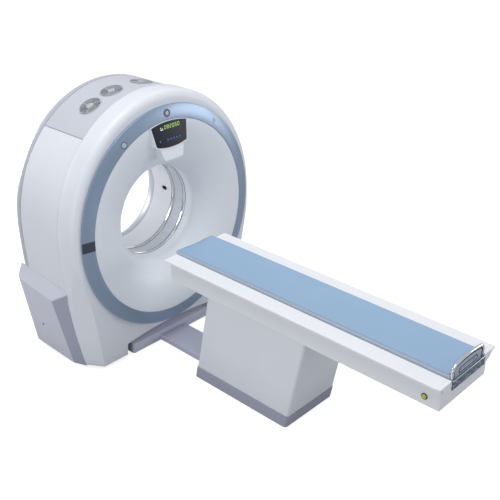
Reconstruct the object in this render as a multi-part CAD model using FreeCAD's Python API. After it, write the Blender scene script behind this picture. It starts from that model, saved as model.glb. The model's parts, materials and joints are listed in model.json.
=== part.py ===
"""Medical CT scanner: a fixed ring-shaped gantry with a patient table in front of it.

Millimetres. +X to the right seen from the table, +Y from the table towards the gantry, +Z up.
The origin lies on the floor, under the bore axis, in the plane of the gantry's front ring.
"""
import FreeCAD, Part

import math
import os

from FreeCAD import Placement, Rotation, Vector

# ---------------------------------------------------------------- driving dimensions
# general clearances
FIT = 0.5              # between covers and what carries them
RUN = 0.3              # between curved faces of bodies that move past each other
SEAM = 3.0             # visible joint between two covers
WALL = 6.0             # moulded cover wall

# gantry outline: half an ellipse standing on two side arcs
BORE_Z = 1030.0        # height of the bore axis
HALF_WIDTH = 838.0     # of the front cover at the bore axis
CROWN = 922.0          # front cover's top above the bore axis
SIDE_RADIUS = 4368.0   # of the arcs below the bore axis
COVER_BOTTOM = 30.0    # covers end this high above the floor
TOP_RECESS = 15.0      # middle covers lie below the front cover's rim at the top
SIDE_RECESS = 5.0      # and inside it at the sides

# gantry planes along the bore axis
COVER_FACE = 15.0      # front cover's face
SEAM_FRONT = 185.0     # front cover to middle covers
SEAM_REAR = 632.0      # middle covers to rear cover
REAR_FACE = 745.0
FRONT_ROUND = 55.0     # edge rounding of the front cover
REAR_ROUND = 92.0      # edge rounding of the rear cover
LIP = 14.0             # the end covers' lips reach this far under the middle covers

# front cover's lower part
LEAN_TOP = 560.0       # the face leans back below this height
LEAN_BACK = 51.0       # by this much at the cover's bottom
CREASE_LOW = (190.0, 70.0, 30.0)      # inside the half width, y, z: the corner crease's lower end
CREASE_HIGH = (42.0, 50.0, 724.0)     # and its upper end
FACET_BACK = (116.0, 185.0, 30.0)     # the corner facet's rear lower end
ARCH_HALF = 430.0      # notch over the cross foot
ARCH_SIDE = 128.0      # the notch's height above the floor at its sides
ARCH_MID = 165.0       # and in its middle

# front ring, funnel and bore
BORE_R = 350.0
RING_SIDE = 60.0       # the ring's outer edge lies this far inside the front cover's side
RING_CROWN = 95.0      # and this far below its top
RING_WIDE_SIDE = 93.0  # the ring's own width at its sides
RING_WIDE_TOP = 99.0   # and at its top
RING_OUT_X = HALF_WIDTH - RING_SIDE
RING_OUT_Z = CROWN - RING_CROWN
RING_IN_X = RING_OUT_X - RING_WIDE_SIDE
RING_IN_Z = RING_OUT_Z - RING_WIDE_TOP
RING_TILT = 18.0       # the ring's inner edge stands this far in front of its outer edge
RING_LAP = 4.0         # the ring laps over the front cover's opening
RING_SKIRT = 5.0       # wall of the ring's skirt, which closes the gap to the leaning face
FUNNEL_DEPTH = 195.0   # of the funnel's curved part
LINER_WALL = 5.0
WINDOW_FRONT = 229.0   # metal rings either side of the scan window
WINDOW_REAR = 383.0
WINDOW_RING_LONG = 26.0
WINDOW_RING_THICK = 9.0
WINDOW_PROUD = 2.0     # the metal rings stand inside the bore wall
SCAN_WALL = 3.0        # the scan window's thin wall
LINER_END = 595.0      # rear liner to rear cover's flare
FLARE_R = 470.0        # flare's mouth in the rear face
SLOT_LONG = 55.0       # oval slot in the rear liner
SLOT_HIGH = 32.0
SLOT_Y = 470.0
SLOT_DOWN = 10.0       # below the bore axis

# badge and name plate on the ring
BADGE_R = 27.0
BADGE_THICK = 3.0
BADGE_PIN_R = 9.0
BADGE_UP = 776.0       # above the bore axis
PLATE_TALL = 74.0
PLATE_UP = 23.0        # above the bore axis
PLATE_DEEP = 3.0

# console
CONSOLE_PROUD = 3.0    # its face stands this far in front of the ring's inner edge
CONSOLE_DEEP = 160.0
CONSOLE_TOP = 164.0    # half widths
CONSOLE_LOW = 141.0
CONSOLE_FOOT = 558.0   # lower edge above the bore axis, at its sides
CONSOLE_SAG = 18.0     # the lower edge hangs this much lower in the middle
CONSOLE_CORNER = 18.0
DISPLAY_RIM = 5.0
DISPLAY_THICK = 4.0
CHIN_TOP = 118.0       # half widths
CHIN_FOOT = 80.0
CHIN_SET = 3.0         # the chin's face lies behind the console's
CHIN_LOW = 461.0       # lower edge above the bore axis
KEY_R = 7.0
KEY_PROUD = 1.5
KEY_LONG = 9.0
KEY_TRAVEL = 1.0
KEY_GAP = 0.4
KEY_PITCH = 27.0
KEY_UP = 600.0         # key row above the bore axis
KEY_FIRST = -30.0      # x of the row's first key
KEY_COUNT = 5
KEY_APART = -98.0      # x of the single key at the left

SEAM_ANGLE = 48.5      # ellipse parameter of the joint between top and side covers

# cooling fans on the top cover
FAN_ANGLES = (114.6, 101.0, 82.5)     # ellipse parameter, from +X
FAN_Y = 372.0
GUARD_R = 82.0
GUARD_FLANGE = 4.0     # the guard's rim laps over the hole
GUARD_THICK = 3.0
GUARD_DEEP = 34.0
GUARD_WALL = 2.5
GUARD_SLOTS = 5        # ring-shaped gaps
FAN_HUB_R = 24.0
FAN_DEEP = 20.0
FAN_BLADES = 7
FAN_PIN_R = 4.0

# stationary frame and bearing
BASE_SIDE = 148.0      # the base frame lies this far inside the covers
BASE_HALF = HALF_WIDTH - BASE_SIDE
BASE_BEAM = 120.0      # width of the side beams
BASE_HIGH = 110.0
CROSS_BEAM = 60.0      # width of the cross beams
CROSS_LIFT = 12.0      # their height above the floor
PAD_THICK = 20.0
PAD_HALF_LONG = 41.0   # of an anchor pad along the bore axis
PAD_INSIDE = 60.0      # an anchor pad reaches this far inside the beam
PAD_OUTSIDE = 50.0     # and this far outside it
BRACKET_LONG = 200.0   # the strips that carry the side covers
BRACKET_THICK = 10.0
BRACKET_UP = 5.0       # above the covers' bottom edge
ANCHOR_HOLE_R = 9.0
ANCHOR_IN = 90.0       # from the base frame's side to the anchor holes
GANTRY_ANCHOR_X = BASE_HALF - ANCHOR_IN    # half spacing
GANTRY_ANCHOR_Y = (250.0, 655.0)
STAND_FRONT = 466.0
STAND_THICK = 30.0
STAND_OUT = 640.0
STAND_LEG_OUT = 623.0
STAND_LEG_IN = 430.0
BEARING_FRONT = 420.0
RACE_IN_R = 430.0      # inner ring's bore
RACE_OUT_R = 520.0     # outer ring's outside
ROLLER_R = 10.0
ROLLER_PITCH_R = 468.0
ROLLER_LONG = 30.0
ROLLER_COUNT = 24

# rotor
DISC_FRONT = 400.0
DISC_THICK = 18.0
DISC_R = 690.0
ROTOR_BORE = 372.0     # clears the bore liners
HUB_WALL = 18.0
HUB_END = 590.0
RIM_R = 660.0          # belt rim
RIM_WALL = 14.0
RIM_LONG = 38.0
SLIP_FRONT = 520.0
SLIP_LONG = 40.0
SLIP_R = 470.0
TUBE_R = 100.0
TUBE_UP = 650.0        # x-ray tube's axis above the bore axis
PARTS_FRONT = 205.0    # rotor parts reach this plane
COLLIMATOR_HALF = 110.0
COLLIMATOR_HIGH = 90.0
SCAN_Y = 306.0         # scan plane
FAN_BEAM_HALF = 27.0   # degrees
DETECTOR_GAP = 26.0    # from the bore's metal rings
DETECTOR_R = TUBE_UP + BORE_R + WINDOW_RING_THICK + DETECTOR_GAP
DETECTOR_THICK = 60.0
DETECTOR_HALF = 60.0
SIDE_PACK_IN = 470.0   # generator and heat exchanger
SIDE_PACK_OUT = 650.0
SIDE_PACK_HIGH = 290.0

# rotor drive
PULLEY_R = 60.0
PULLEY_LONG = 32.0
BELT_THICK = 5.0
BELT_WIDE = 28.0
MOTOR_ANGLE = -50.0
MOTOR_AWAY = 765.0     # from the bore axis
MOTOR_R = 75.0
MOTOR_LONG = 130.0
MOTOR_SHAFT_R = 14.0

# side boxes
BOX_FLOOR = 20.0
BOX_TOP = 632.0        # the roof's height at the gantry's side, at the front
BOX_TOP_REAR = 690.0   # and at the rear
BOX_EDGE = 575.0       # height of the roof's outer edge at the front
BOX_FRONT_LOW = (-78.0, 288.0)    # outside the half width, y: the outer corners at the bottom
BOX_BACK_LOW = (-83.0, 775.0)
BOX_FRONT_HIGH = (28.0, 305.0)    # and the front outer corner at the edge
BOX_BACK_HIGH_Y = 730.0           # y of the rear outer corner at the edge
BOX_INNER_Y = 100.0    # the box is cut to the gantry's side from here on
BOX_DEEP = 210.0       # the uncut block starts this far inside the half width
BOX_ROUND = 30.0

# floor pieces between gantry and table
FOOT_LEFT = -368.0
FOOT_RIGHT = 415.0
FOOT_FRONT = 75.0
FOOT_EDGE = 76.0       # height of the front face
FOOT_TOP = 118.0
FOOT_SLOPE = 60.0      # depth of the sloping top
FOOT_CHAMFER = 20.0
DUCT_LEFT = -98.0
DUCT_RIGHT = 150.0
DUCT_HIGH = 45.0
DUCT_CHAMFER = 6.0

# table pedestal: a box leaning towards the gantry
LEAN = -0.2062         # y per z
PED_HALF = 240.0
PED_FRONT = -465.0     # at the floor
PED_BACK = -1320.0
PED_ROUND = 18.0
PED_WALL = 5.0
SKIRT_HIGH = 90.0
SKIRT_PROUD = 5.0
SKIRT_GAP = 2.0        # under the moving cover
SLEEVE_GAP = 9.0       # inner sleeve inside the moving cover
SLEEVE_TOP = 330.0
PLATE_THICK = 12.0
TABLE_ANCHOR_X = 150.0
TABLE_ANCHOR_Y = (-560.0, -1230.0)

# lift column and screw
COLUMN_HALF = 120.0
COLUMN_FRONT = -700.0  # at the floor
COLUMN_BACK = -1080.0
COLUMN_WALL = 8.0
COLUMN_TOP = 590.0
COLUMN_GAP = 2.0
INNER_LOW = 330.0      # lower end of the inner tube
SCREW_R = 14.0
SCREW_LOW = 40.0
SCREW_TOP = 790.0
NUT_HIGH = 40.0
CHASSIS_LOW = 770.0
CHASSIS_WALL = 10.0
CHASSIS_FRONT = -660.0
CHASSIS_BACK = -1400.0

# tray
TRAY_TOP = 885.0
TRAY_LIP = 294.0       # half width
TRAY_LIP_EDGE = 15.0
TRAY_LIP_ROUND = 6.0
TRAY_SIDE = 243.0
TRAY_SIDE_TOP = 825.0
TRAY_BOTTOM = 708.0
TRAY_WALL = 6.0
TRAY_HEAD = -252.0
TRAY_FOOT = -2400.0
TROUGH_HALF = 177.0
TROUGH_FLOOR = 860.0
TRAY_DECK = 8.0
CAP_END = -2426.0
CAP_ROUND = 6.0
CAP_STEP = 20.0        # the end cap's lower part stands back by this much
CAP_SPREAD = 30.0      # the step's level part reaches this far past the notch
CAP_STEP_HIGH = 866.0  # where the step meets the lip's corner
NOTCH_STEP = 5.0       # the notch is this much narrower than the trough, each side
NOTCH_HALF = TROUGH_HALF - NOTCH_STEP
NOTCH_LOW = 822.0
PANEL_END = -2432.0
PANEL_GAP = 0.5
PANEL_TOP = 862.0      # under the handle's block
FASCIA_TOP = 882.0     # the panel's front plate hides the block
FASCIA_THICK = 7.0

# stop buttons
STOP_Y = -2310.0
STOP_Z = 764.0
BEZEL_R = 19.5
BEZEL_THICK = 4.0
BEZEL_WALL = 3.0       # round the button's well
BEZEL_FLOOR = 6.0      # behind it
STOP_R = 14.0
STOP_PROUD = 3.0
STOP_LONG = 16.0

# cradle
CRADLE_CLEAR = 7.0     # to the trough's sides
CRADLE_HALF = TROUGH_HALF - CRADLE_CLEAR
CRADLE_HEAD = -236.0
CRADLE_FOOT = -2406.0
CRADLE_EDGE = 906.0
CRADLE_SAG = 16.0
GLIDE_HALF = 12.0      # raised glide strips in the trough
GLIDE_IN = 30.0        # from the cradle's side to a strip's middle
GLIDE_X = CRADLE_HALF - GLIDE_IN
GLIDE_HIGH = 4.0
PAD_SET = 4.0          # the pad's side lies this far inside the cradle's
PAD_HALF = CRADLE_HALF - PAD_SET
PAD_EDGE = 7.0         # thickness at its sides
PAD_CROWN = 9.0        # thickness in the middle
PAD_MARGIN = 6.0       # from the cradle's ends
HANDLE_R = 9.0
HANDLE_HALF = CRADLE_HALF - HANDLE_R
HANDLE_Y = -2415.0
HANDLE_HIGH = 96.0     # the bar's crown above the block that carries it
HANDLE_RISE = 20.0     # of the bar's arch, leg to leg
HANDLE_BEND = 42.0
BLOCK_HIGH = 14.0      # the block above the cradle's underside
BLOCK_FRONT = 7.0
HAND_PLATE = 6.0       # thickness of the plate that fills the arch
HAND_PLATE_GAP = 1.0   # between the plate and the tube
HAND_SLOT_HALF = 95.0
HAND_SLOT_HIGH = 28.0
HAND_SLOT_UP = 30.0    # the slot's middle above the block

# ---------------------------------------------------------------- helpers
parts = {}


def box(x0, x1, y0, y1, z0, z1):
    return Part.makeBox(x1 - x0, y1 - y0, z1 - z0, Vector(x0, y0, z0))


def cylinder_y(radius, y0, y1, x=0.0, z=BORE_Z):
    return Part.makeCylinder(radius, y1 - y0, Vector(x, y0, z), Vector(0, 1, 0))


def tube_y(outer, inner, y0, y1, x=0.0, z=BORE_Z):
    return cylinder_y(outer, y0, y1, x, z).cut(cylinder_y(inner, y0 - 1, y1 + 1, x, z))


def polygon(points):
    return Part.Face(Part.makePolygon(points + points[:1]))


def prism_y(outline_xz, y0, y1):
    face = polygon([Vector(x, y0, z) for x, z in outline_xz])
    return face.extrude(Vector(0, y1 - y0, 0))


def prism_x(outline_yz, x0, x1):
    face = polygon([Vector(x0, y, z) for y, z in outline_yz])
    return face.extrude(Vector(x1 - x0, 0, 0))


def mirrored(shape):
    return shape.mirror(Vector(0, 0, 0), Vector(1, 0, 0))


def group(shapes):
    return Part.makeCompound(shapes)


def one_solid(shape):
    solids = shape.Solids
    return max(solids, key=lambda s: s.Volume)


def ellipse_wire(y, half_x, half_z):
    """Whole ellipse in an XZ plane, with its seam at the top."""
    if abs(half_x - half_z) < 1e-6:
        curve = Part.Circle(Vector(0, y, BORE_Z), Vector(0, 1, 0), half_x)
        curve.XAxis = Vector(0, 0, 1)
    elif half_z > half_x:
        curve = Part.Ellipse(Vector(0, y, BORE_Z + half_z), Vector(half_x, y, BORE_Z),
                             Vector(0, y, BORE_Z))
    else:
        curve = Part.Ellipse(Vector(half_x, y, BORE_Z), Vector(0, y, BORE_Z + half_z),
                             Vector(0, y, BORE_Z))
    return Part.Wire(curve.toShape())


def ellipse_plug(half_x, half_z, y0, y1):
    return Part.Face(ellipse_wire(y0, half_x, half_z)).extrude(Vector(0, y1 - y0, 0))


def side_drop(z, inset):
    """How far the outline's side lies inside its widest point at height z."""
    radius = SIDE_RADIUS - inset
    return radius - math.sqrt(radius ** 2 - (BORE_Z - z) ** 2)


def outline(y, inset, side, top, bottom):
    """Closed outline of the gantry: half an ellipse over two side arcs and a level bottom."""
    half = HALF_WIDTH - side - inset
    rise = CROWN - top - inset
    centre = Vector(0, y, BORE_Z)
    if rise > half:
        crown = Part.Ellipse(Vector(0, y, BORE_Z + rise), Vector(half, y, BORE_Z), centre)
        upper = Part.ArcOfEllipse(crown, -math.pi / 2, math.pi / 2).toShape()
    else:
        crown = Part.Ellipse(Vector(half, y, BORE_Z), Vector(0, y, BORE_Z + rise), centre)
        upper = Part.ArcOfEllipse(crown, 0, math.pi).toShape()
    middle_z = (BORE_Z + bottom) / 2
    edges = [upper]
    for sign in (1, -1):
        start = Vector(sign * half, y, BORE_Z)
        middle = Vector(sign * (half - side_drop(middle_z, inset)), y, middle_z)
        end = Vector(sign * (half - side_drop(bottom, inset)), y, bottom)
        edges.append(Part.Arc(start, middle, end).toShape())
    foot = half - side_drop(bottom, inset)
    edges.append(Part.LineSegment(Vector(foot, y, bottom), Vector(-foot, y, bottom)).toShape())
    return Part.Wire(Part.__sortEdges__(edges))


def outline_block(y0, y1, inset=0.0, side=0.0, top=0.0, bottom=COVER_BOTTOM):
    face = Part.Face(outline(y0, inset, side, top, bottom))
    return face.extrude(Vector(0, y1 - y0, 0))


def rounded_front(block, y, radius, bottom):
    """Round the outline's edges in plane y, but not its level bottom."""
    edges = []
    for edge in block.Edges:
        bounds = edge.BoundBox
        flat = bounds.YLength < 1e-3 and abs(bounds.YMin - y) < 1e-3
        level = bounds.ZLength < 1e-3 and abs(bounds.ZMin - bottom) < 1e-3
        if flat and not level:
            edges.append(edge)
    return block.makeFillet(radius, edges)


def slab_beyond(points, reach, offset=0.0):
    """Thick slab on the far side of the plane through three points, away from the bore axis."""
    a, b, c = points
    normal = (b - a).cross(c - a).normalize()
    if normal.x * a.x < 0:
        normal = -normal
    origin = a - normal * offset
    along = (b - a).normalize()
    across = normal.cross(along)
    corners = [origin + along * (u * reach) + across * (v * reach)
               for u, v in ((-1, -1), (1, -1), (1, 1), (-1, 1))]
    return polygon(corners).extrude(normal * reach)


# ---------------------------------------------------------------- front cover, ring and funnel
def front_block(inset, bottom):
    """Outside of the front cover, or its inside when inset by the wall."""
    face = COVER_FACE + inset
    block = outline_block(face, SEAM_FRONT, inset, bottom=bottom)
    block = rounded_front(block, face, FRONT_ROUND - inset, bottom)
    slope = LEAN_BACK / (LEAN_TOP - COVER_BOTTOM)
    low = bottom - 50
    lean = [(face, LEAN_TOP), (face + slope * (LEAN_TOP - low), low),
            (face - 100, low), (face - 100, LEAN_TOP)]
    block = block.cut(prism_x(lean, -2 * HALF_WIDTH, 2 * HALF_WIDTH))
    for sign in (1, -1):
        facet = [Vector(sign * (HALF_WIDTH - x), y, z)
                 for x, y, z in (CREASE_LOW, CREASE_HIGH, FACET_BACK)]
        block = block.cut(slab_beyond(facet, 3 * HALF_WIDTH, inset))
    return block


def arch_notch():
    """Notch in the front cover's lower edge, over the cross foot."""
    y = COVER_FACE - 50
    left = Vector(-ARCH_HALF, y, ARCH_SIDE)
    right = Vector(ARCH_HALF, y, ARCH_SIDE)
    low_left = Vector(-ARCH_HALF, y, -50)
    low_right = Vector(ARCH_HALF, y, -50)
    arc = Part.Arc(left, Vector(0, y, ARCH_MID), right).toShape()
    sides = [Part.LineSegment(right, low_right).toShape(),
             Part.LineSegment(low_right, low_left).toShape(),
             Part.LineSegment(low_left, left).toShape()]
    return Part.Face(Part.Wire([arc] + sides)).extrude(Vector(0, SEAM_FRONT - y - WALL, 0))


def cover_lip(y0, y1):
    """Lip of an end cover, set in so that the middle covers lap over it."""
    outer_inset = WALL + FIT
    outer = outline_block(y0, y1, outer_inset, SIDE_RECESS, TOP_RECESS)
    inner = outline_block(y0 - 1, y1 + 1, outer_inset + WALL, SIDE_RECESS, TOP_RECESS,
                          bottom=COVER_BOTTOM - 60)
    return outer.cut(inner)


def front_cover():
    shell = front_block(0, COVER_BOTTOM).cut(front_block(WALL, COVER_BOTTOM - 60))
    lip = cover_lip(SEAM_FRONT - 2 * WALL, SEAM_FRONT + LIP)
    facet_clear = front_block(FIT / 2, COVER_BOTTOM).fuse(
        outline_block(SEAM_FRONT - 0.01, SEAM_FRONT + 2 * LIP))
    shell = shell.fuse(lip.common(facet_clear))
    shell = shell.cut(arch_notch())
    opening = ellipse_plug(RING_OUT_X - RING_LAP, RING_OUT_Z - RING_LAP,
                           COVER_FACE - 50, SEAM_FRONT - 3 * WALL)
    return one_solid(shell.cut(opening))


def ring_body(grow):
    """Ring between its two ellipses; grow widens its bore."""
    back = COVER_FACE
    outer = Part.makeLoft([ellipse_wire(0, RING_OUT_X, RING_OUT_Z),
                           ellipse_wire(-RING_TILT, RING_IN_X, RING_IN_Z)], True, True)
    outer = outer.fuse(ellipse_plug(RING_OUT_X, RING_OUT_Z, 0, back))
    bore = ellipse_plug(RING_IN_X + grow, RING_IN_Z + grow, -RING_TILT - 10, back + 10)
    return outer.cut(bore)


def ring_skirt():
    """Tube behind the ring that stands inside the cover's opening, as deep as the face leans."""
    inset = RING_LAP + FIT
    skirt = ellipse_plug(RING_OUT_X - inset, RING_OUT_Z - inset, COVER_FACE - 1,
                         COVER_FACE + LEAN_BACK)
    inset += RING_SKIRT
    return skirt.cut(ellipse_plug(RING_OUT_X - inset, RING_OUT_Z - inset, COVER_FACE - 2,
                                  COVER_FACE + LEAN_BACK + 1))


def funnel_sections(thick):
    """Ellipses down the funnel's quarter-ellipse profile, set back by the wall."""
    steps = 8
    front = -RING_TILT
    back = front + FUNNEL_DEPTH
    wires = []
    for i in range(steps + 1):
        angle = math.pi / 2 * i / steps
        y = back - (FUNNEL_DEPTH - thick) * math.cos(angle)
        half_x = RING_IN_X - (RING_IN_X - BORE_R - thick) * math.sin(angle)
        half_z = RING_IN_Z - (RING_IN_Z - BORE_R - thick) * math.sin(angle)
        wires.append(ellipse_wire(y, half_x, half_z))
    return wires


def funnel_air(thick):
    """The space in front of the funnel and in its bore; with a wall's thickness, its back."""
    front = -RING_TILT
    bell = Part.makeLoft(funnel_sections(thick), True, False)
    neck = cylinder_y(BORE_R + thick, front + FUNNEL_DEPTH, WINDOW_FRONT)
    return bell.fuse(neck)


def bore_funnel():
    body = funnel_air(LINER_WALL)
    flange = ellipse_plug(RING_IN_X - FIT, RING_IN_Z - FIT, -RING_TILT, -RING_TILT + LINER_WALL)
    body = body.fuse(flange)
    body = body.cut(ellipse_plug(RING_OUT_X, RING_OUT_Z, -RING_TILT - 50, -RING_TILT))
    body = body.cut(funnel_air(0))
    keep = ellipse_plug(RING_IN_X - FIT, RING_IN_Z - FIT, -RING_TILT, WINDOW_FRONT)
    return one_solid(body.common(keep))


parts["front_cover"] = front_cover()

# the plate is let into the ring on its -X side
ring_cut = box(-RING_OUT_X - PLATE_TALL, -RING_IN_X + PLATE_TALL, -2 * RING_TILT, COVER_FACE / 2,
               BORE_Z + PLATE_UP - PLATE_TALL / 2, BORE_Z + PLATE_UP + PLATE_TALL / 2)
ring = ring_body(0).fuse(ring_skirt())
pocket_floor = ring_body(0)
pocket_floor.translate(Vector(0, PLATE_DEEP, 0))
ring_plate = one_solid(ring.common(ring_cut).cut(pocket_floor))
ring = ring.cut(ring_plate)
ring_lean = math.degrees(math.atan2(RING_TILT, RING_OUT_Z - RING_IN_Z))
badge_seat_y = -RING_TILT * (RING_OUT_Z - BADGE_UP) / (RING_OUT_Z - RING_IN_Z)
badge = Part.makeCylinder(BADGE_R, BADGE_THICK, Vector(0, 0, 0), Vector(0, -1, 0))
badge = badge.fuse(Part.makeCylinder(BADGE_PIN_R, 2 * BADGE_THICK, Vector(0, -BADGE_THICK, 0),
                                     Vector(0, 1, 0)))
badge.rotate(Vector(0, 0, 0), Vector(1, 0, 0), -ring_lean)
badge.translate(Vector(0, badge_seat_y, BORE_Z + BADGE_UP))
ring = one_solid(ring.cut(badge))
parts["front_ring"] = ring
parts["ring_plate"] = ring_plate
parts["ring_badge"] = badge
parts["bore_funnel"] = bore_funnel()

# ---------------------------------------------------------------- scan window and rear bore
window_rings = []
for y0 in (WINDOW_FRONT, WINDOW_REAR - WINDOW_RING_LONG):
    window_rings.append(tube_y(BORE_R + WINDOW_RING_THICK, BORE_R - WINDOW_PROUD,
                               y0, y0 + WINDOW_RING_LONG))
parts["window_rings"] = group(window_rings)
parts["scan_window"] = tube_y(BORE_R + SCAN_WALL, BORE_R, WINDOW_FRONT + WINDOW_RING_LONG,
                              WINDOW_REAR - WINDOW_RING_LONG)


def rear_liner():
    liner = tube_y(BORE_R + LINER_WALL, BORE_R, WINDOW_REAR, LINER_END)
    straight = (SLOT_LONG - SLOT_HIGH) / 2
    middle = BORE_Z - SLOT_DOWN
    slot = box(0, 2 * BORE_R, SLOT_Y - straight, SLOT_Y + straight,
               middle - SLOT_HIGH / 2, middle + SLOT_HIGH / 2)
    for y in (SLOT_Y - straight, SLOT_Y + straight):
        slot = slot.fuse(Part.makeCylinder(SLOT_HIGH / 2, 2 * BORE_R, Vector(0, y, middle),
                                           Vector(1, 0, 0)))
    return liner.cut(slot)


parts["rear_bore_liner"] = rear_liner()


def flare():
    """Quarter-ellipse mouth from the bore to the rear face, turned about the bore axis."""
    steps = 8
    depth = REAR_FACE - LINER_END

    def curve(thick):
        points = []
        for i in range(steps + 1):
            angle = math.pi / 2 * i / steps
            radius = FLARE_R - (FLARE_R - BORE_R - thick) * math.cos(angle)
            y = LINER_END + (depth - thick) * math.sin(angle)
            points.append(Vector(0, y, BORE_Z + radius))
        line = Part.BSplineCurve()
        line.interpolate(points)
        return points, line.toShape()

    inner, inner_edge = curve(0)
    outer, outer_edge = curve(WALL)
    rim = [Vector(0, y, BORE_Z + FLARE_R + WALL) for y in (REAR_FACE, REAR_FACE - WALL)]
    edges = [inner_edge, Part.LineSegment(inner[-1], rim[0]).toShape(),
             Part.LineSegment(rim[0], rim[1]).toShape(),
             Part.LineSegment(rim[1], outer[-1]).toShape(), outer_edge,
             Part.LineSegment(outer[0], inner[0]).toShape()]
    face = Part.Face(Part.Wire(Part.__sortEdges__(edges)))
    return face.revolve(Vector(0, 0, BORE_Z), Vector(0, 1, 0), 360)


def rear_block(inset, bottom):
    face = REAR_FACE - inset
    block = outline_block(SEAM_REAR, face, inset, SIDE_RECESS, TOP_RECESS, bottom)
    return rounded_front(block, face, REAR_ROUND - inset, bottom)


def rear_cover():
    shell = rear_block(0, COVER_BOTTOM).cut(rear_block(WALL, COVER_BOTTOM - 60))
    seat = outline_block(SEAM_REAR, SEAM_REAR + 2 * WALL, WALL - FIT, SIDE_RECESS, TOP_RECESS)
    seat = seat.cut(outline_block(SEAM_REAR - 1, REAR_FACE, 2 * WALL, SIDE_RECESS, TOP_RECESS,
                                  bottom=COVER_BOTTOM - 60))
    shell = shell.fuse(seat).fuse(cover_lip(SEAM_REAR - LIP, SEAM_REAR + 2 * WALL))
    mouth = cylinder_y(FLARE_R + WALL / 2, REAR_FACE - 2 * WALL, REAR_FACE + 10)
    return one_solid(shell.cut(mouth).fuse(flare()))


parts["rear_cover"] = rear_cover()

# ---------------------------------------------------------------- middle covers
def middle_block(y0, y1, inset=0.0, bottom=COVER_BOTTOM):
    return outline_block(y0, y1, inset, SIDE_RECESS, TOP_RECESS, bottom)


def top_wedge(drop):
    """Everything above the two joints of the top cover."""
    half = HALF_WIDTH - SIDE_RECESS
    rise = CROWN - TOP_RECESS
    reach = 2.0
    x = half * math.cos(math.radians(SEAM_ANGLE)) * reach
    z = rise * math.sin(math.radians(SEAM_ANGLE)) * reach
    points = [(0, BORE_Z - drop), (x, BORE_Z + z - drop), (x, BORE_Z + 2 * z),
              (-x, BORE_Z + 2 * z), (-x, BORE_Z + z - drop)]
    return prism_y(points, SEAM_FRONT - 50, SEAM_REAR + 50)


middle_front = SEAM_FRONT + SEAM
middle_rear = SEAM_REAR - SEAM
middle_shell = middle_block(middle_front, middle_rear).cut(
    middle_block(middle_front - 1, middle_rear + 1, WALL, COVER_BOTTOM - 60))
top_cover = one_solid(middle_shell.common(top_wedge(0)))
side_shell = middle_shell.cut(top_wedge(SEAM))


def top_surface(angle):
    """Point and outward normal on the top cover at an ellipse parameter."""
    half = HALF_WIDTH - SIDE_RECESS
    rise = CROWN - TOP_RECESS
    t = math.radians(angle)
    point = Vector(half * math.cos(t), FAN_Y, BORE_Z + rise * math.sin(t))
    normal = Vector(math.cos(t) / half, 0, math.sin(t) / rise).normalize()
    return point, normal


def placed(shape, angle, out=0.0):
    """Stand a shape made around +Z on the top cover."""
    point, normal = top_surface(angle)
    moved = shape.copy()
    moved.Placement = Placement(point + normal * out, Rotation(Vector(0, 0, 1), normal))
    return moved


def z_cylinder(radius, z0, z1, x=0.0, y=0.0):
    return Part.makeCylinder(radius, z1 - z0, Vector(x, y, z0))


def fan_guard():
    """Round moulded guard with ring slots, its tube and the spider that holds the fan's pin."""
    tube_r = GUARD_R - GUARD_FLANGE
    guard = z_cylinder(GUARD_R, 0, GUARD_THICK)
    guard = guard.fuse(z_cylinder(tube_r, -GUARD_DEEP, GUARD_THICK))
    guard = guard.cut(z_cylinder(tube_r - GUARD_WALL, -GUARD_DEEP - 1, 0))
    pitch = (tube_r - GUARD_WALL - FAN_HUB_R) / GUARD_SLOTS
    rings = None
    for i in range(GUARD_SLOTS):
        outer = FAN_HUB_R + pitch * (i + 1)
        gap = z_cylinder(outer, -1, GUARD_THICK + 1).cut(
            z_cylinder(outer - pitch * 0.6, -2, GUARD_THICK + 2))
        rings = gap if rings is None else rings.fuse(gap)
    for i in range(3):
        spoke = box(-GUARD_WALL, GUARD_WALL, 0, GUARD_R, -3, GUARD_THICK + 3)
        spoke.rotate(Vector(0, 0, 0), Vector(0, 0, 1), 120 * i)
        rings = rings.cut(spoke)
    guard = guard.cut(rings)
    return one_solid(guard.fuse(z_cylinder(FAN_PIN_R, -GUARD_DEEP, 1)))


def fan_rotor():
    """Hub on the guard's pin, with flat pitched blades."""
    top = -GUARD_THICK
    low = top - FAN_DEEP
    tip = GUARD_R - GUARD_FLANGE - GUARD_WALL - 2
    hub = z_cylinder(FAN_HUB_R, low, top)
    for i in range(FAN_BLADES):
        blade = box(FAN_HUB_R - 2, tip - 3, -1, 1, -FAN_DEEP / 2 + 2, FAN_DEEP / 2 - 2)
        blade.rotate(Vector(0, 0, 0), Vector(1, 0, 0), 38)
        blade.translate(Vector(0, 0, (top + low) / 2))
        blade.rotate(Vector(0, 0, 0), Vector(0, 0, 1), 360.0 / FAN_BLADES * i)
        hub = hub.fuse(blade)
    return hub.cut(z_cylinder(FAN_PIN_R + RUN, low - 1, top + 1))


guard = fan_guard()
rotor = fan_rotor()
guards = []
for number, angle in enumerate(FAN_ANGLES, 1):
    hole = placed(z_cylinder(GUARD_R - GUARD_FLANGE + FIT, -60, 20), angle)
    top_cover = top_cover.cut(hole)
    guards.append(placed(guard, angle))
    parts["fan_rotor_%d" % number] = placed(rotor, angle)
for seat in guards:
    top_cover = top_cover.cut(seat)
parts["fan_guards"] = group(guards)
parts["top_cover"] = one_solid(top_cover)
right_cover = max(side_shell.Solids, key=lambda s: s.CenterOfMass.x)
parts["side_cover_right"] = right_cover
parts["side_cover_left"] = mirrored(right_cover)


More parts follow.
